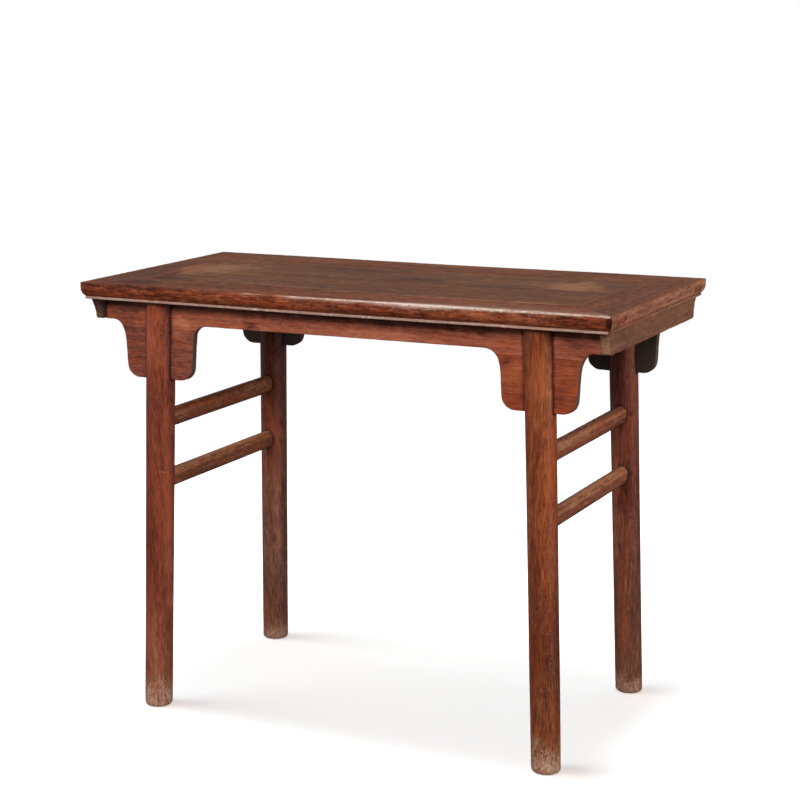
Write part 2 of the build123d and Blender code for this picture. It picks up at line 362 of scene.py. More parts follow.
def foot_group() -> Shared:
    """Bare the splintered, dirty wood at the bottom of a leg.

    Returns:
        The group.
    """
    torn = Pattern((38.0, 70.0, 70.0), 5.0, 0.75, 0.4)
    split = Pattern((170.0, 330.0, 330.0), 4.0, 0.75, 0.3)
    takes = {"Color": ("Color", "Bare", "Stain"), "Float": ("Foot",), "Vector": ("Vector",)}
    group = Shared("bare_foot", takes, ("Color", "Mask"))
    g, given = group.graph, group.inputs
    ragged = g.noise(given["Vector"], torn)
    splinters = g.noise(given["Vector"], split)
    edge = g.total(given["Foot"], g.weigh(ragged, 1.5), g.weigh(splinters, 1.1))
    mask = g.mask(edge, 0.20, 1.00)
    stained = g.mask(g.total(g.weigh(ragged, 0.8), g.weigh(splinters, 1.8)), -0.45, 0.35)
    wood = g.mix(stained, given["Stain"], given["Bare"])
    group.give(Color=g.mix(mask, given["Color"], wood), Mask=mask)
    return group


def scuff_group() -> Shared:
    """Draw fine scratches and rubs that cross the grain three ways.

    Returns:
        The group.
    """
    ways = ((0.5, 0.010), (1.25, 0.008), (2.3, 0.009))
    long_curves = Pattern((16.0, 130.0, 130.0), 1.0, 0.4)
    handled = Pattern((9.0, 22.0, 22.0), 2.0)
    takes = {"Color": ("Color", "Pale"), "Float": ("Amount",), "Vector": ("Vector",)}
    group = Shared("scuffs", takes, ("Color", "Mask"))
    g, given = group.graph, group.inputs
    lines = []
    for turn, width in ways:
        turned = g.turned(given["Vector"], (turn * 0.7, turn * 0.4, turn))
        ridge = g.math("ABSOLUTE", g.math("SUBTRACT", g.noise(turned, long_curves), 0.5))
        lines.append(g.mask(ridge, width, 0.0))
    cover = g.mask(g.noise(given["Vector"], handled), 0.50, 0.70)
    scratch = g.math("MAXIMUM", lines[0], g.math("MAXIMUM", lines[1], lines[2]))
    scratch = g.times(g.times(scratch, cover), given["Amount"])
    group.give(Color=g.mix(scratch, given["Color"], given["Pale"]), Mask=scratch)
    return group


def surface_group() -> Shared:
    """Work out roughness and fine height from the other effects.

    Returns:
        The group.
    """
    smoothest, roughest = 0.12, 0.9
    labels = ("Fibre", "Pores", "Cloud", "Wear", "Grime", "Scuffs", "Polish")
    group = Shared("timber_surface", {"Float": labels}, ("Roughness", "Height"))
    g, given = group.graph, group.inputs
    roughness = g.total(
        given["Polish"],
        g.weigh(given["Cloud"], 0.22),
        g.weigh(given["Fibre"], 0.12),
        g.times(given["Wear"], 0.10),
        g.times(given["Grime"], 0.22),
        g.times(given["Scuffs"], 0.25),
    )
    height = g.total(
        g.weigh(given["Fibre"], 0.55),
        g.times(given["Pores"], -0.45),
        g.weigh(given["Cloud"], 0.25),
        g.times(given["Wear"], -0.35),
        g.times(given["Scuffs"], -0.6),
    )
    held = g.math("MINIMUM", g.math("MAXIMUM", roughness, smoothest), roughest)
    group.give(Roughness=held, Height=height)
    return group


@dataclass
class Effects:
    """The shared node groups, each built once."""

    figure: Shared = field(default_factory=figure_group)
    colour: Shared = field(default_factory=colour_group)
    wear: Shared = field(default_factory=wear_group)
    grime: Shared = field(default_factory=grime_and_shade_group)
    foot: Shared = field(default_factory=foot_group)
    scuffs: Shared = field(default_factory=scuff_group)
    surface: Shared = field(default_factory=surface_group)


class GrainWay(Enum):
    """The direction in which a timber's fibres run, as the turn that brings it onto X."""

    ALONG_TABLE = (0.0, 0.0, 0.0)
    ACROSS_TABLE = (0.0, 0.0, -90.0)
    UPRIGHT = (0.0, 90.0, 0.0)


@dataclass(frozen=True)
class Grain:
    """How one timber was sawn: its fibre direction and where the heart of its tree lay."""

    way: GrainWay
    heart: Triple = (0.0, 0.08, 0.11)
    lean: float = 0.0


@dataclass(frozen=True)
class TimberFinish:
    """Colours and surface of one kind of timber on the table."""

    slot: str
    dark: Rgb = (62, 26, 16)
    middle: Rgb = (126, 64, 42)
    light: Rgb = (170, 98, 62)
    warm: Rgb = (176, 72, 28)
    rubbed: Rgb = (172, 128, 108)
    bare: Rgb = (190, 150, 120)
    splinter: Rgb = (182, 147, 120)
    # near black, for dirt and painted shade in the joints
    dirt: Rgb = (22, 14, 10)
    lacquer: Rgb = (84, 72, 62)
    ring_width: float = 9 * MM
    waver: float = 14 * MM
    rings: float = 0.15
    streaks: float = 1.1
    fibres: float = 1.0
    mottle: float = 1.5
    age_tint: Colour = (0.86, 1.06, 1.04, 1.0)
    warmth: float = 0.8
    polish: float = 0.42
    scuffs: float = 0.35
    sheen_level: float = 0.14
    relief: float = 0.12 * MM

    def material(self, name: str, grain: Grain, effects: Effects) -> Material:
        """Build the finish for one timber.

        Args:
            name: The material's name.
            grain: The way the timber was sawn.
            effects: The shared node groups.

        Returns:
            The material.
        """
        made = bpy.data.materials.new(name)
        made.use_nodes = True
        g = Graph(made.node_tree)
        place = g.add("TexCoord").outputs["Object"]
        turn = [math.radians(angle) for angle in grain.way.value]
        turn[1] += math.radians(grain.lean)
        sawn = g.turned(place, tuple(turn), grain.heart)
        marks = {
            key: g.add("Attribute", attribute_name=key).outputs["Fac"]
            for key in ("wear", "grime", "inside", "tone", "foot", "aged")
        }
        figure = effects.figure.use(g, Vector=sawn, Ring_Width=self.ring_width, Waver=self.waver)
        colour = effects.colour.use(
            g,
            **{socket.name: socket for socket in figure},
            Tone=marks["tone"],
            Aged=marks["aged"],
            Ring_Share=self.rings,
            Streak_Share=self.streaks,
            Fibre_Share=self.fibres,
            Mottle_Share=self.mottle,
            Age_Tint=self.age_tint,
            Warmth=self.warmth,
            Dark=paint(*self.dark),
            Middle=paint(*self.middle),
            Light=paint(*self.light),
            Warm=paint(*self.warm),
        )
        scuffed = effects.scuffs.use(
            g, Color=colour["Color"], Vector=sawn, Amount=self.scuffs, Pale=paint(*self.rubbed)
        )
        worn = effects.wear.use(
            g,
            Color=scuffed["Color"],
            Wear=marks["wear"],
            Vector=sawn,
            Rubbed=paint(*self.rubbed),
            Bare=paint(*self.bare),
        )
        bared = effects.foot.use(
            g,
            Color=worn["Color"],
            Foot=marks["foot"],
            Vector=sawn,
            Bare=paint(*self.splinter),
            Stain=paint(*self.middle),
        )
        grimed_and_shaded = effects.grime.use(
            g,
            Color=bared["Color"],
            Grime=marks["grime"],
            Inside=marks["inside"],
            Vector=sawn,
            Dirt=paint(*self.dirt),
            Lacquer=paint(*self.lacquer),
        )
        surface = effects.surface.use(
            g,
            **{key: figure[key] for key in ("Fibre", "Pores", "Cloud")},
            Wear=g.math("MAXIMUM", worn["Mask"], bared["Mask"]),
            Grime=grimed_and_shaded["Mask"],
            Scuffs=scuffed["Mask"],
            Polish=self.polish,
        )
        relief = {"Height": surface["Height"], "Distance": self.relief, "Strength": 1.0}
        values = {
            "Base Color": grimed_and_shaded["Color"],
            "Roughness": surface["Roughness"],
            "Normal": g.add("Bump", relief).outputs[0],
            "Specular IOR Level": self.sheen_level,
        }
        shader = g.add("BsdfPrincipled", values)
        g.add("OutputMaterial", {"Surface": shader.outputs[0]})
        return made


# ---- bench tools: working a mesh ----
def recalculate(bm: BMesh) -> None:
    """Merge doubles and turn every face outwards.

    Args:
        bm: The mesh, one closed shape.
    """
    bmesh.ops.remove_doubles(bm, verts=bm.verts[:], dist=DOUBLES)
    bmesh.ops.recalc_face_normals(bm, faces=bm.faces[:])
    if bm.calc_volume(signed=True) < 0.0:
        bmesh.ops.reverse_faces(bm, faces=bm.faces[:])


def outline_face(bm: BMesh, points: Iterable[Sequence[float]]) -> BMFace:
    """Add one flat face.

    Args:
        bm: The mesh.
        points: Its corners.

    Returns:
        The face.
    """
    face = bm.faces.new([bm.verts.new(point) for point in points])
    face.normal_update()
    return face


def extrude(bm: BMesh, way: Vector) -> None:
    """Turn one flat face into a closed prism.

    Args:
        bm: The mesh, which holds that face alone.
        way: How far the face moves.
    """
    bm.faces.ensure_lookup_table()
    raised = bmesh.ops.extrude_face_region(bm, geom=[bm.faces[0]])["geom"]
    bmesh.ops.translate(bm, verts=[item for item in raised if isinstance(item, BMVert)], vec=way)
    recalculate(bm)


def slice_at(bm: BMesh, point: Vector, normal: Vector, drop: bool = False) -> None:
    """Cut with a plane.

    Args:
        bm: The mesh.
        point: A point on the plane.
        normal: The plane's normal.
        drop: Take away what lies on the normal's side and close the cut.
    """
    geom = bm.verts[:] + bm.edges[:] + bm.faces[:]
    result = bmesh.ops.bisect_plane(
        bm, geom=geom, dist=1e-7, plane_co=point, plane_no=normal, clear_outer=drop
    )
    if drop:
        rim = [item for item in result["geom_cut"] if isinstance(item, BMEdge)]
        bmesh.ops.edgeloop_fill(bm, edges=rim)


def slice_every(bm: BMesh, axis: Vector, step: float) -> None:
    """Cut a mesh into even slices along an axis, without dropping anything.

    Args:
        bm: The mesh.
        axis: The axis, of length 1.
        step: About how thick the slices are.
    """
    heights = [axis.dot(vert.co) for vert in bm.verts]
    low, high = min(heights), max(heights)
    count = max(1, round((high - low) / step))
    for index in range(1, count):
        slice_at(bm, axis * (low + (high - low) * index / count), axis)


def ease(bm: BMesh, edges: Iterable[BMEdge], width: float, segments: int) -> None:
    """Round arrises.

    Args:
        bm: The mesh.
        edges: The arrises.
        width: How far from them the rounding starts.
        segments: Its facets.
    """
    bmesh.ops.bevel(
        bm,
        geom=list(edges),
        offset=width,
        offset_type="OFFSET",
        segments=segments,
        profile=0.5,
        affect="EDGES",
        material=-1,
        clamp_overlap=True,
    )


def sharp_edges(bm: BMesh, degrees: float = 35.0, level_axis: int | None = None) -> list[BMEdge]:
    """Find arrises.

    Args:
        bm: The mesh.
        degrees: The angle that two faces turn by at an arris, at least.
        level_axis: Where given, the axis along which an arris doesn't run.

    Returns:
        The edges that are arrises.
    """
    limit = math.radians(degrees)
    edges = [e for e in bm.edges if len(e.link_faces) == 2 and e.calc_face_angle(0.0) > limit]
    if level_axis is None:
        return edges
    return [e for e in edges if abs(run_of(e)[level_axis]) < DOUBLES]


def run_of(edge: BMEdge) -> Vector:
    """Return the way from one end of an edge to the other."""
    return edge.verts[0].co - edge.verts[1].co


def line_points(edges: Iterable[BMEdge], step: float = 2 * MM) -> list[Vector]:
    """Space points along edges.

    Args:
        edges: The edges.
        step: The longest distance between two points.

    Returns:
        The points.
    """
    points = []
    for edge in edges:
        start, end = (vert.co.copy() for vert in edge.verts)
        count = max(1, math.ceil((end - start).length / step))
        points += [start.lerp(end, index / count) for index in range(count + 1)]
    return points


def curve_points(corners: Sequence[Vector], count: int) -> list[Pair]:
    """Return points on a curve that is given by its start, its two handles and its end."""
    return [tuple(point) for point in interpolate_bezier(*corners, count)]


def quarter_turn(steps: int) -> list[float]:
    """Return angles from 0 to 90 degrees in even steps, in radians."""
    return [math.radians(90 * i / steps) for i in range(steps + 1)]


def hang_up(name: str, data: ID | None) -> Object:
    """Put a new object in the scene.

    Args:
        name: Its name.
        data: Its mesh, lamp or camera.

    Returns:
        The object.
    """
    thing = bpy.data.objects.new(name, data)
    bpy.context.scene.collection.objects.link(thing)
    return thing


def join(target: BMesh, source: BMesh) -> None:
    """Add one mesh to another.

    Args:
        target: The mesh that grows.
        source: The mesh that is added, and freed.
    """
    holder = bpy.data.meshes.new("join")
    source.to_mesh(holder)
    source.free()
    target.from_mesh(holder)
    bpy.data.meshes.remove(holder)


def subtract(bm: BMesh, cutter: BMesh) -> None:
    """Cut a closed shape out of another.

    Args:
        bm: The mesh.
        cutter: What is cut out of it; it is freed.
    """
    held = []
    for shape in (bm, cutter):
        mesh = bpy.data.meshes.new("cut")
        shape.to_mesh(mesh)
        held.append(hang_up("cut", mesh))
    cutter.free()
    modifier = held[0].modifiers.new("cut", "BOOLEAN")
    modifier.operation = "DIFFERENCE"
    modifier.solver = "EXACT"
    modifier.object = held[1]
    graph = bpy.context.evaluated_depsgraph_get()
    result = bpy.data.meshes.new_from_object(held[0].evaluated_get(graph))
    bm.clear()
    bm.from_mesh(result)
    for thing in held:
        bpy.data.meshes.remove(thing.data)
    bpy.data.meshes.remove(result)


def block(size: Vector, centre: Vector) -> BMesh:
    """Make a box.

    Args:
        size: Its sides.
        centre: Its middle.

    Returns:
        The mesh.
    """
    bm = bmesh.new()
    bmesh.ops.create_cube(bm, size=1.0)
    bmesh.ops.scale(bm, vec=size, verts=bm.verts[:])
    bmesh.ops.translate(bm, vec=centre, verts=bm.verts[:])
    return bm


def seeded(point: Vector, seed: int, scales: Sequence[float]) -> Vector:
    """Return the point scaled for a noise lookup, moved to the seed's own region."""
    shift = Vector((seed * 7.31, seed * 3.77, seed * 5.19))
    return Vector(a * b for a, b in zip(point, scales)) + shift


def shift_verts(bm: BMesh, move: Rule) -> None:
    """Move every vertex along its normal.

    Args:
        bm: The mesh.
        move: How far a vertex at a point goes outwards.
    """
    bm.normal_update()
    moves = [vert.normal * move(vert.co) for vert in bm.verts]
    for vert, way in zip(bm.verts, moves):
        vert.co += way


def hand_work(bm: BMesh, depth: float, scales: Sequence[float], seed: int) -> None:
    """Press a gentle unevenness into all faces, never outwards.

    Args:
        bm: The mesh.
        depth: The deepest hollow.
        scales: Bumps per metre along each axis.
        seed: Which unevenness.
    """

    def hollow(point: Vector) -> float:
        """Return how far out the face goes at a point, 0 or less."""
        level = noise.fractal(seeded(point, seed, scales), 1.0, 2.0, 3)
        return depth * 0.5 * (min(max(level, -1.0), 1.0) - 1.0)

    shift_verts(bm, hollow)


def within(value: float) -> float:
    """Return a value held between 0 and 1."""
    return min(max(value, 0.0), 1.0)


def smooth_step(value: float) -> float:
    """Return a smooth 0 to 1 step of a value, held at its ends."""
    share = within(value)
    return share * share * (3.0 - 2.0 * share)


def ramp(value: float, start: float, width: float) -> float:
    """Return a smooth step that leaves 0 at start and is 1 a width further on, or back."""
    return smooth_step((value - start) / width)


def bell(away: float, reach: float) -> float:
    """Return 1 at no distance, falling off softly and almost 0 at twice the reach."""
    return math.exp(-((away / reach) ** 2))


# ---- a timber on the bench ----
@dataclass(frozen=True)
class Mark:
    """A soft-edged change of tone that use, light or the log has left; sizes in millimetres."""

    centre: Triple
    reach: Triple
    strength: float

    def at(self, point: Vector) -> float:
        """Find the change of tone at a point, with a ragged edge.

        Args:
            point: The place.

        Returns:
            The change, 0 outside the mark.
        """
        away = sum(((a / MM - b) / c) ** 2 for a, b, c in zip(point, self.centre, self.reach))
        away *= 1.0 + 0.9 * noise.noise(point * 40.0)
        return self.strength * (1.0 - away) ** 2 if away < 1.0 else 0.0


@dataclass
class Timber:
    """One piece of wood in the making, and what its finish has to know about it."""

    node: str
    bm: BMesh
    arrises: list[Vector] = field(default_factory=list)
    wear_reach: float = 2.2 * MM
    wear_level: Rule = lambda point: 0.75
    extra_wear: Rule = lambda point: 0.0
    bare_foot: Rule = lambda point: 0.0
    hidden: FacedRule = lambda point, normal: 0.0
    aged: FacedRule = lambda point, normal: 0.0
    marks: tuple[Mark, ...] = ()
    # rubs: painted sheen bands, laid on as pale rubbed wood
    rubs: tuple[Mark, ...] = ()
    # how far from other parts dirt and painted shade reach, and how dark they get
    grime_reach: float = 7 * MM
    grime_level: float = 0.9
    skip_grime_and_shade_beside: str | None = None

    def chip(self, depth: float, seed: int, scales: Sequence[float], reach: float) -> None:
        """Wear small hollows into the arrises.

        Args:
            depth: The deepest chip.
            seed: Which pattern of chips.
            scales: Chips per metre along each axis.
            reach: How far from an arris they go.
        """
        tree = self.arris_tree()

        def chipped(point: Vector) -> float:
            """Return how far out the wood goes at a point, 0 or less."""
            level = noise.fractal(seeded(point, seed, scales), 0.9, 2.1, 4)
            return -depth * bell(tree.find(point)[2], reach) * max(0.0, level + 0.15)

        shift_verts(self.bm, chipped)

    def arris_tree(self) -> KDTree:
        """Sort the points along the arrises.

        Returns:
            Their search tree.
        """
        tree = KDTree(len(self.arrises))
        for index, point in enumerate(self.arrises):
            tree.insert(point, index)
        tree.balance()
        return tree


def apart(low: Vector, high: Vector, other_low: Vector, other_high: Vector) -> bool:
    """Return whether two boxes have a gap between them."""
    corners = (*zip(other_low, high), *zip(low, other_high))
    return any(a > b for a, b in corners)


class Workshop:
    """Finishes timbers: measures wear, and dirt with painted shade near the joints, on them, gives
    them a material and hangs them.
    """

    crease: float = math.radians(40)

    def __init__(self, nodes: dict[str, Object], effects: Effects) -> None:
        """Take the frame's nodes as neighbours for every timber.

        Args:
            nodes: The CAD nodes by name.
            effects: The shared node groups.
        """
        self.effects = effects
        self.neighbours = {}
        for name, thing in nodes.items():
            points = [vert.co.copy() for vert in thing.data.vertices]
            faces = [tuple(face.vertices) for face in thing.data.polygons]
            self.neighbours[name] = (BVHTree.FromPolygons(points, faces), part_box(name))

    def near_others(self, timber: Timber) -> np.ndarray:
        """Measure how close a timber's surface is to the others.

        Args:
            timber: The modelled timber.

        Returns:
            A value for each vertex, 0 far and 1 touching.
        """
        reach = timber.grime_reach
        margin = Vector((reach, reach, reach))
        own_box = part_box(timber.node)
        trees = []
        for name, (tree, (low, high)) in self.neighbours.items():
            low, high = low - margin, high + margin
            skipped = timber.skip_grime_and_shade_beside is not None and timber.skip_grime_and_shade_beside in name
            if name != timber.node and not skipped and not apart(*own_box, low, high):
                trees.append((tree, low, high))
        values = np.zeros(len(timber.bm.verts), np.float32)
        for index, vert in enumerate(timber.bm.verts):
            best = reach
            for tree, low, high in trees:
                if all(a <= p <= b for a, p, b in zip(low, vert.co, high)):
                    found = tree.find_nearest(vert.co, best)
                    if found[3] is not None:
                        best = min(best, found[3])
            values[index] = 1.0 - best / reach
        return values

    def finish(self, timber: Timber, finish: TimberFinish, grain: Grain) -> Object:
        """Turn a timber into a finished piece that rides on the frame.

        Args:
            timber: The modelled timber.
            finish: Its finish.
            grain: The way it was sawn.

        Returns:
            The piece.
        """
        bm = timber.bm
        bm.normal_update()
        keys = ("wear", "inside", "tone", "foot", "aged")
        marks = {key: np.zeros(len(bm.verts), np.float32) for key in keys}
        tree = timber.arris_tree() if timber.arrises else None
        for index, vert in enumerate(bm.verts):
            point = vert.co
            # the rubs paint sheen bands with the rubbed colour
            worn = timber.extra_wear(point) + sum(sheen_band.at(point) for sheen_band in timber.rubs)
            if tree:
                worn += timber.wear_level(point) * bell(tree.find(point)[2], timber.wear_reach)
            marks["wear"][index] = worn
            marks["inside"][index] = timber.hidden(point, vert.normal)
            marks["aged"][index] = timber.aged(point, vert.normal)
            marks["foot"][index] = timber.bare_foot(point)
            marks["tone"][index] = sum(mark.at(point) for mark in timber.marks)
        # dirt and painted shade: darker the nearer a vertex lies to another part
        marks["grime"] = self.near_others(timber) * timber.grime_level
        mesh = bpy.data.meshes.new(timber.node + "_finished")
        bm.to_mesh(mesh)
        bm.free()
        for key, values in marks.items():
            mesh.attributes.new(key, "FLOAT", "POINT").data.foreach_set("value", values)
        mesh.polygons.foreach_set("use_smooth", [True] * len(mesh.polygons))
        mesh.set_sharp_from_angle(angle=self.crease)
        piece = hang_up(timber.node + "_finished", mesh)
        mesh.materials.append(finish.material(timber.node + "_wood", grain, self.effects))
        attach(piece, BODY)
        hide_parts(timber.node)
        LOG.info("%s: %d faces", piece.name, len(mesh.polygons))
        return piece


# ---- the places that the timbers share ----
class Face(Enum):
    """The two long faces of the table."""

    FRONT = -1
    BACK = 1


class Side(Enum):
    """The two ends of the table."""

    LEFT = -1
    RIGHT = 1


@dataclass(frozen=True)
class Lines:
    """The setting-out of the table: the top's outline and the leaning legs."""

    height: float
    half_length: float
    half_depth: float
    frame_thickness: float
    frame_width: float
    leg_top_x: float = 369.2 * MM
    leg_top_y: float = 204.0 * MM
    splay_x: float = 20.5 * MM
    splay_y: float = 19.2 * MM
    front_right_creep: float = 7 * MM
    radius_top: float = 27.0 * MM
    radius_foot: float = 25.75 * MM
    board_thickness: float = 15 * MM
    joint_height: float = 717 * MM
    spandrel_bottom: float = 624.5 * MM
    panel_thickness: float = 12 * MM
    sag: float = 1.0 * MM

    @classmethod
    def measured(cls) -> Lines:
        """Take the outline of the top from the frame."""
        low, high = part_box("top_front_rail")
        return cls(high.z, high.x, -low.y, high.z - low.z, high.y - low.y)

    @property
    def underside(self) -> float:
        """Height of the underside of the top."""
        return self.height - self.frame_thickness

    def run_out(self, side: Side, face: Face) -> float:
        """Return how much further out along the table a leg's foot stands than its top."""
        crept = side is Side.RIGHT and face is Face.FRONT
        return self.splay_x + (self.front_right_creep if crept else 0.0)

    def axis(self, side: Side, face: Face, level: float) -> Vector:
        """Find the middle of a leg.

        Args:
            side: The end of the table the leg is at.
            face: The long face it is at.
            level: The height to look at.

        Returns:
            The point on the leg's axis.
        """
        drop = 1.0 - level / self.height
        x = self.leg_top_x + self.run_out(side, face) * drop
        y = self.leg_top_y + self.splay_y * drop
        return Vector((side.value * x, face.value * y, level))

    def radius(self, level: float) -> float:
        """Return a leg's radius at a level."""
        return self.radius_foot + (self.radius_top - self.radius_foot) * level / self.height

    def board_matrix(self, face: Face) -> Matrix:
        """Place a board, drawn on its own axes of along, up and outwards.

        Args:
            face: The long face that it is on.

        Returns:
            The matrix from those axes to the frame.
        """
        up = Vector((0.0, -face.value * self.splay_y, self.height)).normalized()
        outwards = ALONG.cross(up) * -face.value
        matrix = Matrix((ALONG, up, outwards)).transposed().to_4x4()
        matrix.translation = Vector((0.0, face.value * (self.leg_top_y + self.splay_y), 0.0))
        return matrix

    def sunk(self, x: float) -> float:
        """Return how far the top hangs between the legs at a place along the table."""
        share = min(abs(x) / self.leg_top_x, 1.0)
        return self.sag * (1.0 - share * share) ** 2

    def sink(self, bm: BMesh) -> None:
        """Let the top hang a little between the legs."""
        for vert in bm.verts:
            vert.co.z -= self.sunk(vert.co.x)


# ---- the top ----
FRAME_FINISH = TimberFinish(
    slot="frame_wood",
    dark=(50, 22, 12),
    middle=(118, 59, 36),
    light=(166, 98, 60),
    warm=(172, 66, 24),
    rubbed=(184, 152, 136),
    # whitened bare wood, which also paints the glints on the worn front arris
    bare=(214, 192, 176),
    streaks=0.6,
    fibres=1.3,
)
FRONT_RAIL_FINISH = replace(
    FRAME_FINISH, middle=(120, 54, 32), light=(168, 94, 58), fibres=1.9, mottle=2.1
)
END_RAIL_FINISH = replace(
    FRAME_FINISH, middle=(140, 84, 60), light=(186, 124, 90), age_tint=(0.60, 0.54, 0.46, 1.0)
)
PANEL_FINISH = TimberFinish(
    slot="top_board_wood",
    dark=(50, 28, 18),
    middle=(108, 64, 41),
    light=(152, 106, 69),
    warm=(132, 66, 30),
    streaks=0.5,
    fibres=1.3,
    warmth=0.5,
    scuffs=0.45,
)
MITRE_OPENINGS = {
    Face.FRONT: {-1: 0.3 * MM, 1: 1.1 * MM},
    Face.BACK: {-1: 0.4 * MM, 1: 0.3 * MM},
}
PANEL_MARKS = (
    Mark((-398, 8, 800), (104, 110, 30), 0.46),
    Mark((-350, 60, 800), (90, 50, 30), 0.25),
    Mark((338, 52, 800), (78, 84, 30), 0.62),
    Mark((280, 60, 800), (130, 60, 30), 0.16),
    Mark((32, 30, 800), (90, 30, 30), -0.30),
    Mark((120, -90, 800), (240, 45, 30), -0.10),
    Mark((-425, -140, 800), (110, 70, 30), -0.34),
    Mark((-150, 120, 800), (200, 60, 30), -0.16),
)
RAIL_MARKS = {
    Face.FRONT: (
        Mark((511, -253, 788), (9, 16, 18), -1.0),
        Mark((-425, -215, 800), (90, 60, 8), -0.34),
        Mark((-360, -253, 797), (170, 10, 7), -0.34),
        Mark((-330, -253, 786), (60, 10, 12), -0.12),
        Mark((-250, -253, 788), (60, 10, 14), 0.12),
        Mark((110, -255, 790), (330, 14, 17), 0.18),
        Mark((320, -253, 789), (20, 10, 7), -0.25),
        Mark((300, -254, 790), (90, 12, 11), 0.18),
        Mark((440, -253, 788), (70, 10, 14), -0.34),
    ),
    Face.BACK: (),
    Side.LEFT: (
        Mark((-470, 0, 800), (90, 280, 12), -0.18),
        Mark((-434, 8, 800), (34, 90, 12), 0.62),
    ),
    Side.RIGHT: (
        Mark((509, 0, 781), (14, 600, 7), 0.40),
        Mark((514, -188, 787), (10, 9, 6), -0.7),
        Mark((514, 205, 791), (10, 8, 5), -0.7),
    ),
}


def swapped(ends: dict[int, float]) -> dict[int, float]:
    """Return the values of two ends the other way round."""
    return {way: ends[-way] for way in ends}


@dataclass
class TopFrame:
    """Four mitred members with a moulded edge, through tenons and a floating panel.

    The places of the end cuts and the mitre gap are in millimetres.
    """

    lines: Lines
    shop: Workshop
    arris_radius: float = 1.8 * MM
    edge_flat: Pair = (5 * MM, 7.5 * MM)
    flat_depth: float = 10 * MM
    mould_handles: Pair = (7 * MM, 5 * MM)
    mould_slope: Pair = (1.0, 0.9)
    mould_foot: Pair = (7.6 * MM, 26.3 * MM)
    lip_inset: float = 6.8 * MM
    lip_ease: float = 0.9 * MM
    lip_wear_level: float = 0.80
    end_lip_share: float = 0.38
    plan_radius: float = 3.6 * MM
    face_step: float = 6 * MM
    ring_step: float = 4 * MM
    end_cuts: tuple[float, ...] = (0.8, 1.6, 2.4, 3.3, 4.3, 5.5, 7.0, 9.0)
    mitre_gap: float = 0.10
    tenon_reach: Pair = (186 * MM, 226 * MM)
    tenon_depth: Pair = (9 * MM, 19 * MM)
    tenon_clearance: float = 0.2 * MM
    tenon_shrink: float = 0.35 * MM
    tenon_end: float = 8.6 * MM
    mortise_end: float = 9 * MM
    mortise_proud: float = 2 * MM
    front_chips: float = 1.2 * MM
    other_chips: float = 0.5 * MM
    chip_reach: float = 2.8 * MM
    worn_reach: float = 2.4 * MM
    panel_gap: float = 0.2 * MM
    panel_step: float = 6 * MM
    seam_step: float = 1.0 * MM
    rub_rise: Pair = (-310 * MM, 340 * MM)
    rub_and_glint_fall: Pair = (240 * MM, 160 * MM)
    chipped_spot: Pair = (165 * MM, 60 * MM)
    painted_sheen_rise: Pair = (-120 * MM, 360 * MM)
    painted_sheen_reach: float = 90 * MM
    seam_rise: Pair = (-120 * MM, 200 * MM)
    seam_fall: Pair = (430 * MM, -60 * MM)

    def section(self) -> list[Pair]:
        """Set out the members' section.

        Returns:
            Its corners as (inset from the edge, depth), from the inner top one.
        """
        width, thickness = self.lines.frame_width, self.lines.frame_thickness
        radius = self.arris_radius
        count = round((width - radius) / self.face_step)
        points = [(width + (radius - width) * i / count, 0.0) for i in range(count)]
        for angle in quarter_turn(5):
            points.append((radius - radius * math.sin(angle), radius - radius * math.cos(angle)))
        points += [(0.0, depth) for depth in self.edge_flat]
        start, foot = Vector((0.0, self.flat_depth)), Vector(self.mould_foot)
        lead, tail = self.mould_handles
        slope = Vector(self.mould_slope).normalized()
        points += curve_points((start, start + Vector((0.0, lead)), foot - slope * tail, foot), 9)
        eased = self.lip_inset + self.lip_ease
        middle = (self.mould_foot[1] + thickness) / 2
        for depth in (self.mould_foot[1], middle, thickness - self.lip_ease):
            points.append((self.lip_inset, depth))
        points.append((eased, thickness))
        count = round((width - self.lip_inset) / (2 * self.face_step))
        points += [(eased + (width - eased) * i / count, thickness) for i in range(1, count + 1)]
        return points

    def member(
        self, half_span: float, half_cross: float, step: float, opening: dict[int, float]
    ) -> BMesh:
        """Shape a moulded, mitred member that lies along X at the front edge.

        Args:
            half_span: Half its length at the outer edge.
            half_cross: How far its outer edge is from the middle of the table.
            step: The spacing of its rings.
            opening: How far each end's mitre has opened at the outer edge.

        Returns:
            The member.
        """
        bm = bmesh.new()
        height, width = self.lines.height, self.lines.frame_width
        section = self.section()
        corners = [(-half_span, inset - half_cross, height - depth) for inset, depth in section]
        outline_face(bm, corners)
        extrude(bm, ALONG * 2 * half_span)
        lengthwise = [edge for edge in bm.edges if abs(run_of(edge).x) > half_span]
        cuts = round(2 * half_span / step)
        bmesh.ops.subdivide_edges(bm, edges=lengthwise, cuts=cuts, use_grid_fill=True)
        for end in (-1, 1):
            for back in self.end_cuts:
                slice_at(bm, ALONG * end * (half_span - back * MM), ALONG)
            pivot = Vector((end * (half_span - width), width - half_cross, 0.0))
            angle = math.radians(45) - opening[end] / (width * math.sqrt(2))
            normal = Vector((end * math.cos(angle), math.sin(angle), 0.0))
            slice_at(bm, pivot - normal * self.mitre_gap * MM, normal, drop=True)
        return bm

    def round_corners(self, bm: BMesh) -> None:
        """Round the top's corners as seen from above.

        Args:
            bm: The member that ends in them.
        """
        radius = self.plan_radius
        for vert in bm.verts:
            x, y = abs(vert.co.x), abs(vert.co.y)
            across = radius - (self.lines.half_length - x)
            back = radius - (self.lines.half_depth - y)
            if across > 0.0 and back > 0.0:
                scale = max(across, back) / math.hypot(across, back)
                vert.co.x = math.copysign(x - across * (1.0 - scale), vert.co.x)
                vert.co.y = math.copysign(y - back * (1.0 - scale), vert.co.y)

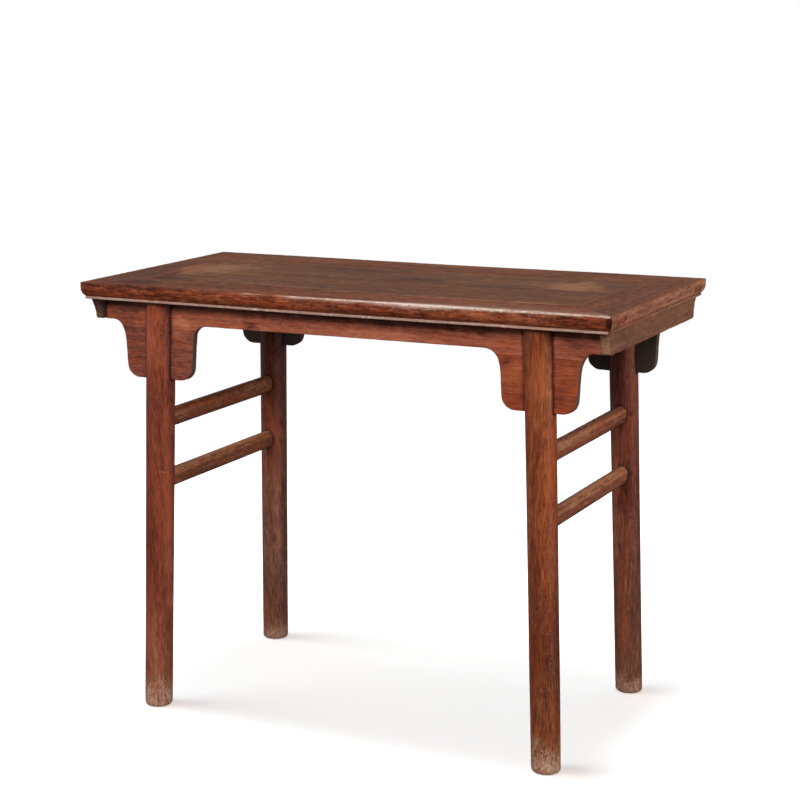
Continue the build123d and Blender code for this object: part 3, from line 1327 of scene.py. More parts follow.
    def tenon(self, side: Side, face: Face, mortise: bool) -> BMesh:
        """Shape the end of a through tenon, moulded with the edge that it comes out of.

        Args:
            side: The end of the table.
            face: The long face whose member carries the tenon.
            mortise: Make it larger, to cut the mortise with.

        Returns:
            The tenon's end.
        """
        height, half_length = self.lines.height, self.lines.half_length
        grow = self.tenon_clearance if mortise else 0.0
        proud = self.mortise_proud if mortise else -self.tenon_shrink
        near, far = self.tenon_reach[0] - grow, self.tenon_reach[1] + grow
        edge = half_length + proud
        bm = bmesh.new()
        outline_face(bm, [(edge - inset, near, height - depth) for inset, depth in self.section()])
        extrude(bm, Vector((0.0, far - near, 0.0)))
        slice_at(bm, UP * (height - self.tenon_depth[0] + grow), UP, drop=True)
        slice_at(bm, UP * (height - self.tenon_depth[1] - grow), -UP, drop=True)
        depth = self.mortise_end if mortise else self.tenon_end
        slice_at(bm, ALONG * (half_length - depth), -ALONG, drop=True)
        bmesh.ops.scale(bm, vec=(side.value, face.value, 1.0), verts=bm.verts[:])
        recalculate(bm)
        return bm

    def front_wear(self, x: float) -> float:
        """Find how worn the front arris is: rubbed, with painted highlights, to the right of the
        middle.

        Args:
            x: The place along the table.

        Returns:
            The wear.
        """
        # real rubbing, with painted highlights where the arris catches the light
        rubbed = 0.06 + 0.78 * ramp(x, *self.rub_rise)
        rubbed -= 0.46 * ramp(x, *self.rub_and_glint_fall)
        chipped = 0.60 * bell(x - self.chipped_spot[0], self.chipped_spot[1])
        return rubbed + chipped + 0.35 * noise.noise(Vector((x * 22.0, 3.1, 0.0)))

    def front_wear_glint_and_sheen(self, point: Vector) -> float:
        """Find the wear and painted highlight on the front face, and the painted sheen on the strip
        of the top behind its arris.

        Args:
            point: A point on the front member.

        Returns:
            The wear there.
        """
        depth = self.lines.height - point.z
        back = point.y + self.lines.half_depth
        if depth > 14 * MM:
            return 0.0
        # painted sheen: a pale haze on the top just behind the front arris, stronger to the right
        painted_sheen = 0.0
        if depth < 2.5 * MM:
            painted_sheen = 0.58 * ramp(point.x, *self.painted_sheen_rise) * math.exp(-back / self.painted_sheen_reach)
        if back > 16 * MM:
            return painted_sheen
        # strong: a thin painted highlight along the rubbed arris; soft: a broader rub around it
        strong = bell(depth - 0.4 * MM, 1.8 * MM) * bell(back, 3.2 * MM)
        soft = 0.68 * bell(depth, 11 * MM) * bell(back, 10 * MM)
        return painted_sheen + self.front_wear(point.x) * (0.46 * strong + soft)

    def member_wear(self, place: Face | Side) -> Rule:
        """Say how a member's arrises are worn.

        Args:
            place: Where the member is.

        Returns:
            The rule.
        """
        share = 0.3 if place is Face.BACK else 1.0
        if place is Face.FRONT:
            # the front arris's wear carries its painted highlight too
            return lambda point: 0.25 * self.front_wear(point.x)
        return lambda point: share * (0.25 + 0.35 * noise.noise(point * 16.0))

    def weathered(self, point: Vector, normal: Vector) -> float:
        """Return 1 where a member faces up, and light and wax have browned it."""
        return ramp(normal.z, 0.45, 0.4)

    def lip_wear(self, point: Vector) -> float:
        """Find how pale the narrow lip under the moulding is.

        Args:
            point: A point on a member.

        Returns:
            The wear there, 0 off the lip.
        """
        past_end = abs(point.x) - self.lines.half_length
        past_face = abs(point.y) - self.lines.half_depth
        outside = max(past_end, past_face) + self.lip_inset + self.lip_ease
        low = self.lines.height - point.z > self.mould_foot[1] - 0.4 * MM
        if not (low and outside > -0.3 * MM):
            return 0.0
        level = self.lip_wear_level * (self.end_lip_share if past_end > past_face else 1.0)
        return level + 0.12 * noise.noise(Vector((point.x * 25.0, point.y * 25.0, 1.7)))

    def under(self, point: Vector, normal: Vector) -> float:
        """Return 1 on the hidden underside of the top."""
        inset = min(self.lines.half_length - abs(point.x), self.lines.half_depth - abs(point.y))
        return 1.0 if normal.z < -0.6 and inset > self.lip_inset + 3 * MM else 0.0

    def arris(self, half_span: float, half_cross: float, place: Face | Side) -> list[Vector]:
        """Space points along a member's outer top arris.

        Args:
            half_span: Half its length.
            half_cross: How far out its edge is.
            place: Where the member is.

        Returns:
            The points.
        """
        count = round(2 * half_span / (2 * MM))
        inset = self.arris_radius * 0.3
        out, level = place.value * (half_cross - inset), self.lines.height - inset
        runs = [half_span * (2 * i / count - 1) for i in range(count + 1)]
        if isinstance(place, Side):
            return [Vector((out, run, level)) for run in runs]
        return [Vector((run, out, level)) for run in runs]

    def work(
        self, bm: BMesh, arrises: list[Vector], place: Face | Side, seed: int, scales: Triple
    ) -> Timber:
        """Give a member its worn, hand-planed surface and its place in the sagging top.

        Args:
            bm: The member as cut.
            arrises: Points along its outer top arris.
            place: The side of the top it is on.
            seed: Which unevenness and chips.
            scales: Bumps of the planing per metre along each axis.

        Returns:
            The member, ready for its joints.
        """
        name = place.name.lower()
        timber = Timber(
            f"top_{name}_rail" if isinstance(place, Face) else f"top_{name}_end_rail",
            bm,
            arrises,
            wear_reach=self.worn_reach,
            wear_level=self.member_wear(place),
            extra_wear=self.lip_wear,
            hidden=self.under,
            aged=self.weathered,
            marks=RAIL_MARKS[place],
            grime_reach=1.2 * MM,
            grime_level=0.12,
        )
        hand_work(bm, 0.25 * MM, scales, seed)
        depth = self.front_chips if place is Face.FRONT else self.other_chips
        timber.chip(depth, seed, (90.0, 90.0, 120.0), self.chip_reach)
        self.round_corners(bm)
        self.lines.sink(bm)
        for point in timber.arrises:
            point.z -= self.lines.sunk(point.x)
        return timber

    def hollow(self, bm: BMesh) -> None:
        """Wear the front member down, which leaves the panel beside it a little proud.

        Args:
            bm: The member.
        """
        lines = self.lines
        for vert in bm.verts:
            if lines.height - vert.co.z < 4 * MM:
                back = vert.co.y + lines.half_depth
                along = ramp(abs(vert.co.x), lines.leg_top_x + 60 * MM, -80 * MM)
                vert.co.z -= self.seam_step * along * ramp(back, 40 * MM, 50 * MM)

    def build_long_member(self, face: Face) -> None:
        """Make the front or the back member.

        Args:
            face: Which of them.
        """
        lines = self.lines
        front = face is Face.FRONT
        ends = MITRE_OPENINGS[face] if front else swapped(MITRE_OPENINGS[face])
        step = self.ring_step * (0.75 if front else 1.25)
        bm = self.member(lines.half_length, lines.half_depth, step, ends)
        if not front:
            bmesh.ops.rotate(bm, verts=bm.verts[:], matrix=Matrix.Rotation(math.pi, 3, "Z"))
        arrises = self.arris(lines.half_length, lines.half_depth, face)
        timber = self.work(bm, arrises, face, 11 + face.value, (6.0, 25.0, 25.0))
        for side in Side:
            join(bm, self.tenon(side, face, mortise=False))
        if front:
            self.hollow(bm)
            timber.extra_wear = lambda point: self.lip_wear(point) + self.front_wear_glint_and_sheen(point)
        grain = Grain(GrainWay.ALONG_TABLE, (0.3 * face.value, 0.31, -0.72))
        self.shop.finish(timber, FRONT_RAIL_FINISH if front else FRAME_FINISH, grain)

    def build_end_member(self, side: Side) -> None:
        """Make the left or the right member.

        Args:
            side: Which of them.
        """
        lines = self.lines
        ends = {face.value: MITRE_OPENINGS[face][side.value] for face in Face}
        turned = ends if side is Side.RIGHT else swapped(ends)
        bm = self.member(lines.half_depth, lines.half_length, self.ring_step, turned)
        quarter = Matrix.Rotation(side.value * math.pi / 2, 3, "Z")
        bmesh.ops.rotate(bm, verts=bm.verts[:], matrix=quarter)
        arrises = self.arris(lines.half_depth, lines.half_length, side)
        timber = self.work(bm, arrises, side, 17 + side.value, (25.0, 6.0, 25.0))
        for face in Face:
            subtract(bm, self.tenon(side, face, mortise=True))
        grain = Grain(GrainWay.ACROSS_TABLE, (0.2 * side.value, 0.45, -0.74))
        self.shop.finish(timber, END_RAIL_FINISH, grain)

    def seam_wear_and_highlight(self, point: Vector) -> float:
        """Find the pale line along the panel's front seam: wax and rubbing, with a painted
        highlight on the seam's edge.

        Args:
            point: The place.

        Returns:
            The wear there.
        """
        inner = self.lines.half_depth - self.lines.frame_width
        if -point.y < inner - 1.6 * MM:
            return 0.0
        # wax and rubbing, with a painted highlight along the seam's edge
        fade = ramp(point.x, *self.seam_rise) * ramp(point.x, *self.seam_fall)
        return 0.75 * fade * (0.85 + 0.6 * noise.noise(Vector((point.x * 30.0, 0.0, 8.0))))

    def build_panel(self) -> None:
        """Make the floating panel."""
        lines = self.lines
        half_x = lines.half_length - lines.frame_width - self.panel_gap
        half_y = lines.half_depth - lines.frame_width - self.panel_gap
        size = Vector((2 * half_x, 2 * half_y, lines.panel_thickness))
        bm = block(size, UP * (lines.height - lines.panel_thickness / 2))
        arrises = line_points(sharp_edges(bm))
        ease(bm, sharp_edges(bm), 0.6 * MM, 2)
        slice_every(bm, ALONG, self.panel_step)
        slice_every(bm, ACROSS, self.panel_step)
        hand_work(bm, 0.9 * MM, (3.0, 14.0, 14.0), 5)
        lines.sink(bm)
        timber = Timber(
            "top_panel",
            bm,
            arrises,
            wear_reach=1.4 * MM,
            wear_level=lambda point: 0.15,
            extra_wear=self.seam_wear_and_highlight,
            hidden=lambda point, normal: 1.0 if normal.z < -0.5 else 0.0,
            marks=PANEL_MARKS,
            grime_reach=1.2 * MM,
            grime_level=0.08,
        )
        self.shop.finish(timber, PANEL_FINISH, Grain(GrainWay.ALONG_TABLE, (0.1, 0.03, -0.62)))

    def build(self) -> None:
        """Make the four members and the panel."""
        for face in Face:
            self.build_long_member(face)
        for side in Side:
            self.build_end_member(side)
        self.build_panel()


# ---- battens ----
@dataclass
class Battens:
    """Three bars across the panel's underside."""

    lines: Lines
    shop: Workshop
    width: float = 36 * MM
    clearance: float = 3 * MM
    finish: TimberFinish = TimberFinish(
        slot="batten_wood", middle=(84, 50, 38), light=(120, 78, 56), polish=0.6
    )

    def build(self) -> None:
        """Make one bar for each batten node."""
        bottom = self.lines.underside + self.clearance
        top = self.lines.height - self.lines.panel_thickness
        reach = self.lines.half_depth - self.lines.frame_width
        for seed, place in enumerate(("left", "middle", "right")):
            node = f"batten_{place}"
            low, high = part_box(node)
            centre = Vector(((low.x + high.x) / 2, 0.0, (top + bottom) / 2))
            bm = block(Vector((self.width, 2 * reach, top - bottom)), centre)
            arrises = line_points(sharp_edges(bm))
            ease(bm, sharp_edges(bm), 1.6 * MM, 2)
            slice_every(bm, ACROSS, 6 * MM)
            slice_every(bm, ALONG, 9 * MM)
            hand_work(bm, 0.5 * MM, (30.0, 8.0, 30.0), 31 + seed)
            self.lines.sink(bm)
            timber = Timber(node, bm, arrises, hidden=lambda point, normal: 0.8)
            grain = Grain(GrainWay.ACROSS_TABLE, (0.0, 0.2 * seed, -0.7))
            self.shop.finish(timber, self.finish, grain)


# ---- long aprons and spandrels ----
APRON_FINISH = TimberFinish(
    slot="apron_wood",
    dark=(76, 32, 22),
    middle=(147, 78, 56),
    light=(184, 112, 82),
    rubbed=(176, 122, 98),
    ring_width=5 * MM,
    waver=26 * MM,
    rings=0.16,
    streaks=0.2,
    fibres=0.8,
    mottle=1.1,
)
SPANDREL_FINISHES = {
    Side.LEFT: TimberFinish(
        slot="apron_wood",
        dark=(60, 26, 18),
        middle=(127, 67, 51),
        light=(164, 96, 70),
        rubbed=(150, 100, 78),
        rings=0.14,
        streaks=0.35,
        fibres=1.2,
        mottle=1.4,
    ),
    Side.RIGHT: TimberFinish(
        slot="apron_wood",
        dark=(80, 32, 18),
        middle=(140, 66, 41),
        light=(178, 98, 58),
        rubbed=(170, 112, 80),
        rings=0.10,
        streaks=0.2,
        fibres=1.3,
        mottle=1.0,
    ),
}
APRON_MARKS = (
    # painted shade: a dark band along the top of the apron, under the overhang of the top
    Mark((0, -212, 772), (900, 60, 27), -0.60),
    # painted light: the lower edge of the apron lighter
    Mark((0, -213, 731), (420, 60, 17), 0.26),
    Mark((-440, -213, 745), (46, 40, 34), -0.26),
    Mark((440, -213, 745), (46, 40, 34), -0.30),
    Mark((-180, -212, 736), (22, 40, 12), -0.40),
    Mark((-328, -212, 732), (26, 40, 16), 0.45),
    Mark((314, -212, 711), (8, 40, 8), -0.45),
)
SPANDREL_MARKS = (
    Mark((-326, -213, 712), (24, 40, 30), 0.35),
    Mark((316, -213, 706), (14, 40, 9), -0.40),
    Mark((330, -215, 690), (20, 40, 30), 0.20),
    Mark((352, -215, 650), (14, 40, 40), -0.25),
    Mark((425, -215, 700), (30, 40, 20), 0.15),
    Mark((414, -216, 655), (12, 40, 36), -0.20),
)


@dataclass
class LongBoards:
    """The two long aprons with the spandrel boards that the legs clasp."""

    lines: Lines
    shop: Workshop
    underside: float = 726.4 * MM
    end_underside: float = 729.1 * MM
    half_reach: float = 486.7 * MM
    foot_reach: float = 68 * MM
    cove_foot: Pair = (70 * MM, 684 * MM)
    inner_reach: float = 104 * MM
    outer_reach: float = 97 * MM
    inner_handles: Pair = (22 * MM, 32 * MM)
    outer_handles: Pair = (15 * MM, 30 * MM)
    cove_lean: float = 0.04
    wide_left: float = 3.4 * MM
    narrow_right: float = 2.8 * MM
    sawn_from: float = 6 * MM
    sawn_fade: float = 30 * MM
    drawn_rise: Pair = (180 * MM, 120 * MM)
    corner_radius: float = 25 * MM
    arris: float = 1.5 * MM
    joint_arris: float = 0.35 * MM
    joint_gap: float = 0.12 * MM
    joint_zone: float = 1.2 * MM
    lacquered_edge: float = 0.62

    @property
    def centre(self) -> float:
        """Distance of a spandrel's middle from the middle of the table."""
        middle = (self.lines.joint_height + self.lines.spandrel_bottom) / 2
        return self.lines.axis(Side.RIGHT, Face.BACK, middle).x

    def cove(self, inner: bool) -> list[Pair]:
        """Set out a cove from the apron's underside down to the spandrel's side.

        Args:
            inner: Whether it is on the side towards the middle of the table.

        Returns:
            Its points as (reach from the spandrel's middle, height).
        """
        reach = self.inner_reach if inner else self.outer_reach
        level = self.underside if inner else self.end_underside
        lead, tail = self.inner_handles if inner else self.outer_handles
        start, foot = Vector((reach, level)), Vector(self.cove_foot)
        handle = foot + Vector((self.cove_lean, 1.0)) * tail
        return curve_points((start, start - Vector((lead, 0.0)), handle, foot), 22)

    def spandrel_side(self, side: Side, way: int) -> list[Pair]:
        """Set out one side of a spandrel from the apron's underside to its bottom corner.

        Args:
            side: The end of the table the spandrel is at.
            way: The direction from the spandrel's middle, along the table.

        Returns:
            Its points as (x, height).
        """
        middle = side.value * self.centre
        bottom, radius = self.lines.spandrel_bottom, self.corner_radius
        points = self.cove(way != side.value)
        for angle in quarter_turn(12):
            reach = self.foot_reach - radius + radius * math.cos(angle)
            points.append((reach, bottom + radius - radius * math.sin(angle)))
        return [(middle + way * reach, level) for reach, level in points]

    def outline(self, side: Side | None) -> list[Pair]:
        """Set out a board.

        Args:
            side: The end a spandrel is at; without one, the apron with both spandrels.

        Returns:
            The corners as (x, height); the board is cut from them at the joint.
        """
        if side:
            return self.spandrel_side(side, -1) + self.spandrel_side(side, 1)[::-1]
        top, reach, level = self.lines.underside, self.half_reach, self.end_underside
        ends = [(reach, level), (reach, top), (-reach, top), (-reach, level)]
        return self.outline(Side.LEFT) + self.outline(Side.RIGHT) + ends

    def board(self, face: Face, side: Side | None) -> tuple[BMesh, list[Vector]]:
        """Shape an apron or a spandrel.

        Args:
            face: The long face of the table.
            side: The end a spandrel is at; without one, the apron.

        Returns:
            The board in place, and points along its arrises.
        """
        bm = bmesh.new()
        half = self.lines.board_thickness / 2
        joint = ACROSS * self.lines.joint_height
        corners = self.outline(side)
        outline_face(bm, [(x, y, -half) for x, y in corners if abs(y - joint.y) > self.joint_zone])
        gap = ACROSS * self.joint_gap
        plane, normal = (joint - gap, ACROSS) if side else (joint + gap, -ACROSS)
        geom = bm.verts[:] + bm.edges[:] + bm.faces[:]
        bmesh.ops.bisect_plane(
            bm, geom=geom, dist=1e-7, plane_co=plane, plane_no=normal, clear_outer=True
        )
        extrude(bm, UP * 2 * half)

        def at_joint(edge: BMEdge) -> bool:
            """Return whether an edge lies along the joint."""
            return all(abs(vert.co.y - joint.y) < 0.5 * MM for vert in edge.verts)

        free = [edge for edge in sharp_edges(bm, 60, level_axis=2) if not at_joint(edge)]
        arrises = line_points(free)
        ease(bm, free, self.arris, 3)
        rims = [edge for edge in sharp_edges(bm, 60) if at_joint(edge)]
        ease(bm, rims, self.joint_arris, 1)
        slice_every(bm, ALONG, 5 * MM)
        slice_every(bm, ACROSS, 4 * MM)
        recalculate(bm)
        matrix = self.lines.board_matrix(face)
        for vert in bm.verts:
            vert.co = self.as_cut(face, matrix @ vert.co)
        recalculate(bm)
        return bm, [self.as_cut(face, matrix @ point) for point in arrises]

    def as_cut(self, face: Face, point: Vector) -> Vector:
        """Move a point of a board to where hand sawing and its leg's lean have put it.

        Args:
            face: The long face that the board is on.
            point: The point as set out.

        Returns:
            The point as it is.
        """
        low = ramp(point.z, self.lines.joint_height + self.sawn_from, -self.sawn_fade)
        moved = point.copy()
        if face is Face.FRONT:
            drawn = self.lines.front_right_creep * (1.0 - point.z / self.lines.height)
            moved.x += drawn * ramp(point.x, *self.drawn_rise)
            if point.x < 0.0:
                moved.x += self.wide_left * within((point.x + self.centre) / self.foot_reach) * low
        elif point.x > 0.0:
            moved.x -= self.narrow_right * within((point.x - self.centre) / self.foot_reach) * low
        return moved

    def rim_wear(self, face: Face) -> Rule:
        """Return the wear rule for the boards' arrises, which the back ones barely have."""
        share = 1.0 if face is Face.FRONT else 0.2
        return lambda point: share * (0.42 + 0.3 * noise.noise(point * 15.0))

    def inner_face(self, face: Face) -> FacedRule:
        """Say how much lacquer is left on a board's inner face and on its edges.

        Args:
            face: The long face that the board is on.

        Returns:
            The rule.
        """
        start = 0.3 if face is Face.FRONT else -0.7

        def level(point: Vector, normal: Vector) -> float:
            """Return how much is left at a point."""
            inner = ramp(-normal.y * face.value, start, 0.5)
            return max(inner, self.lacquered_edge * ramp(normal.x, 0.45, 0.3))

        return level

    def make(self, face: Face, side: Side | None, finish: TimberFinish, grain: Grain) -> None:
        """Make and finish one board.

        Args:
            face: The long face of the table.
            side: The end a spandrel is at; without one, the apron.
            finish: The board's finish.
            grain: The way it was sawn.
        """
        bm, arrises = self.board(face, side)
        name, marks = face.name.lower(), SPANDREL_MARKS if side else APRON_MARKS
        timber = Timber(
            f"spandrel_{name}_{side.name.lower()}" if side else f"{name}_apron",
            bm,
            arrises,
            wear_reach=1.8 * MM,
            wear_level=self.rim_wear(face),
            hidden=self.inner_face(face),
            marks=marks if face is Face.FRONT else (),
            grime_reach=(6 if side else 8) * MM,
            skip_grime_and_shade_beside="apron" if side else "spandrel",
        )
        seed = 47 + face.value + 3 * side.value if side else 41 + face.value
        hand_work(bm, 0.3 * MM, (10.0, 25.0, 25.0), seed)
        timber.chip(0.6 * MM, seed, (110.0, 110.0, 110.0), 2.6 * MM)
        self.shop.finish(timber, finish, grain)

    def build(self) -> None:
        """Make both aprons and their spandrels."""
        for face in Face:
            heart = (0.25 * face.value, 0.16 + 0.02 * face.value, -0.70)
            self.make(face, None, APRON_FINISH, Grain(GrainWay.ALONG_TABLE, heart))
            for side in Side:
                heart = (0.2 * side.value, 0.12, -0.60 + 0.03 * side.value)
                grain = Grain(GrainWay.ALONG_TABLE, heart)
                self.make(face, side, SPANDREL_FINISHES[side], grain)


# ---- end aprons ----
@dataclass
class EndAprons:
    """The boards across the ends, with shaped and rounded ends."""

    lines: Lines
    shop: Workshop
    underside: float = 729.5 * MM
    top_reach: float = 239 * MM
    foot: Pair = (223.5 * MM, 738 * MM)
    handles: Pair = (9 * MM, 10 * MM)
    corner_radius: float = 7 * MM
    arris: float = 1.5 * MM
    end_grain_share: float = 0.16
    # painted shade on the left board's front end, which stands out beyond the front apron
    marks: tuple[Mark, ...] = (Mark((-480, -240, 750), (60, 30, 60), -0.8),)
    finish: TimberFinish = TimberFinish(
        slot="end_apron_wood",
        dark=(70, 40, 27),
        middle=(122, 78, 56),
        light=(160, 114, 82),
        warm=(140, 78, 42),
        rubbed=(166, 130, 96),
        streaks=0.8,
        fibres=0.7,
        mottle=1.0,
        warmth=0.4,
        polish=0.5,
    )

    def outline(self) -> list[Pair]:
        """Set out the board.

        Returns:
            The corners as (y, height).
        """
        start, foot = Vector((self.top_reach, self.lines.underside)), Vector(self.foot)
        lead = Vector((-0.75, -1.0)).normalized() * self.handles[0] * 1.25
        tail = Vector((0.1, 1.0)) * self.handles[1]
        half = curve_points((start, start + lead, foot + tail, foot), 14)
        radius = self.corner_radius
        for angle in quarter_turn(8)[1:]:
            reach = self.foot[0] - radius + radius * math.cos(angle)
            half.append((reach, self.underside + radius - radius * math.sin(angle)))
        return half + [(-y, z) for y, z in half[::-1]]

    def end_grain(self, side: Side) -> Rule:
        """Say where the sawn ends are pale, which only the right board shows.

        Args:
            side: The end of the table.

        Returns:
            The rule.
        """
        share = self.end_grain_share if side is Side.RIGHT else 0.0

        def level(point: Vector) -> float:
            """Find the wear.

            Args:
                point: The place.

            Returns:
                The wear there.
            """
            rise = within((point.z - self.foot[1]) / (self.lines.underside - self.foot[1]))
            edge = self.foot[0] + (self.top_reach - self.foot[0]) * rise**1.5
            return share * ramp(abs(point.y) - edge, -4 * MM, 3 * MM)

        return level

    def build(self) -> None:
        """Make both end aprons."""
        for side in Side:
            node = f"{side.name.lower()}_end_apron"
            low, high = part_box(node)
            bm = bmesh.new()
            outline_face(bm, [(low.x, y, z) for y, z in self.outline()])
            extrude(bm, ALONG * (high.x - low.x))
            rims = sharp_edges(bm, 60, level_axis=0)
            arrises = line_points(rims)
            ease(bm, rims, self.arris, 3)
            slice_every(bm, ACROSS, 5 * MM)
            slice_every(bm, UP, 4 * MM)
            hand_work(bm, 0.5 * MM, (25.0, 9.0, 25.0), 61 + side.value)
            timber = Timber(
                node,
                bm,
                arrises,
                wear_reach=2.6 * MM,
                wear_level=lambda point: 0.55 + 0.3 * noise.noise(point * 18.0),
                extra_wear=self.end_grain(side),
                hidden=lambda point, normal, way=side.value: ramp(-normal.x * way, 0.3, 0.5),
                marks=self.marks,
                grime_reach=5 * MM,
            )
            timber.chip(1.3 * MM, 67 + side.value, (110.0, 110.0, 110.0), timber.wear_reach)
            self.shop.finish(timber, self.finish, Grain(GrainWay.ACROSS_TABLE, (0.1, 0.43, -0.71)))


# ---- legs ----
LEG_FINISH = TimberFinish(
    slot="leg_wood",
    dark=(50, 22, 12),
    middle=(112, 51, 27),
    light=(160, 88, 46),
    warm=(162, 66, 28),
    rings=0.06,
    streaks=0.6,
    fibres=1.6,
    mottle=0.7,
    age_tint=(0.97, 1.36, 1.50, 1.0),
    warmth=0.7,
)


@dataclass(frozen=True)
class Crack:
    """An open crack up from the foot of a leg."""

    degrees: float
    height: float
    depth: float


@dataclass(frozen=True)
class LegLook:
    """What sets one leg apart: its colours, its cracks, where it is darker, and its painted sheen
    bands.
    """

    finish: TimberFinish
    cracks: tuple[Crack, ...]
    marks: tuple[Mark, ...]
    # painted sheen bands, laid on as pale rubbed wood
    rubs: tuple[Mark, ...]


# The last tuple of each leg holds its painted sheen bands.
LEG_LOOKS = {
    "front_left": LegLook(
        replace(LEG_FINISH, middle=(112, 50, 33), light=(156, 80, 53)),
        (Crack(-62, 130 * MM, 3.0 * MM), Crack(-100, 60 * MM, 1.2 * MM)),
        (
            # painted light at the top of the leg, under the overhang of the top
            Mark((-376, -235, 700), (40, 40, 100), 0.36),
            Mark((-366, -235, 400), (12, 30, 360), 0.10),
            Mark((-352, -224, 360), (14, 20, 420), 0.36),
            Mark((-390, -236, 400), (12, 22, 400), -0.24),
            Mark((-386, -222, 100), (60, 60, 160), 0.16),
            Mark((-347, -232, 743), (5, 12, 5), -0.60),
            Mark((-398, -240, 70), (8, 20, 45), -0.30),
        ),
        (Mark((-356, -222, 330), (9, 16, 380), 0.36),),
    ),
    "front_right": LegLook(
        replace(LEG_FINISH, middle=(110, 51, 27)),
        (Crack(-75, 70 * MM, 1.4 * MM), Crack(-110, 45 * MM, 1.2 * MM)),
        (
            Mark((376, -240, 500), (9, 30, 240), -0.10),
            Mark((382, -240, 300), (10, 30, 200), -0.10),
            Mark((402, -232, 480), (16, 40, 300), 0.14),
            # painted light at the top of the leg, under the overhang of the top
            Mark((384, -240, 690), (40, 40, 90), 0.26),
            Mark((396, -224, 200), (60, 60, 130), -0.18),
            Mark((392, -228, 735), (4, 12, 9), 0.45),
        ),
        (
            Mark((394, -228, 690), (9, 16, 90), 0.50),
            Mark((399, -232, 500), (8, 16, 190), 0.30),
            Mark((365, -231, 380), (9, 16, 420), 0.46),
            Mark((412, -216, 380), (8, 16, 420), 0.36),
        ),
    ),
    "back_left": LegLook(
        # darker colours and splinters: painted shade for a back leg
        replace(LEG_FINISH, middle=(96, 50, 37), light=(140, 82, 62), splinter=(158, 122, 98)),
        (Crack(-60, 50 * MM, 1.2 * MM),),
        (
            # painted shade at the top of the leg, under the overhang of the top
            Mark((-372, 190, 680), (40, 40, 110), -0.25),
            Mark((-362, 192, 380), (16, 20, 460), 0.42),
        ),
        (Mark((-357, 200, 330), (9, 16, 360), 0.10),),
    ),
    "back_right": LegLook(
        # darker colours and splinters: painted shade for a back leg
        replace(LEG_FINISH, middle=(98, 46, 33), light=(146, 81, 58), splinter=(158, 122, 98)),
        (Crack(-85, 45 * MM, 1.2 * MM),),
        (
            # painted shade at the top of the leg, under the overhang of the top
            Mark((372, 190, 690), (40, 40, 80), -0.10),
            Mark((362, 186, 450), (18, 30, 420), 0.30),
            Mark((386, 216, 160), (60, 60, 130), -0.12),
        ),
        (Mark((367, 191, 330), (9, 14, 360), 0.38),),
    ),
}


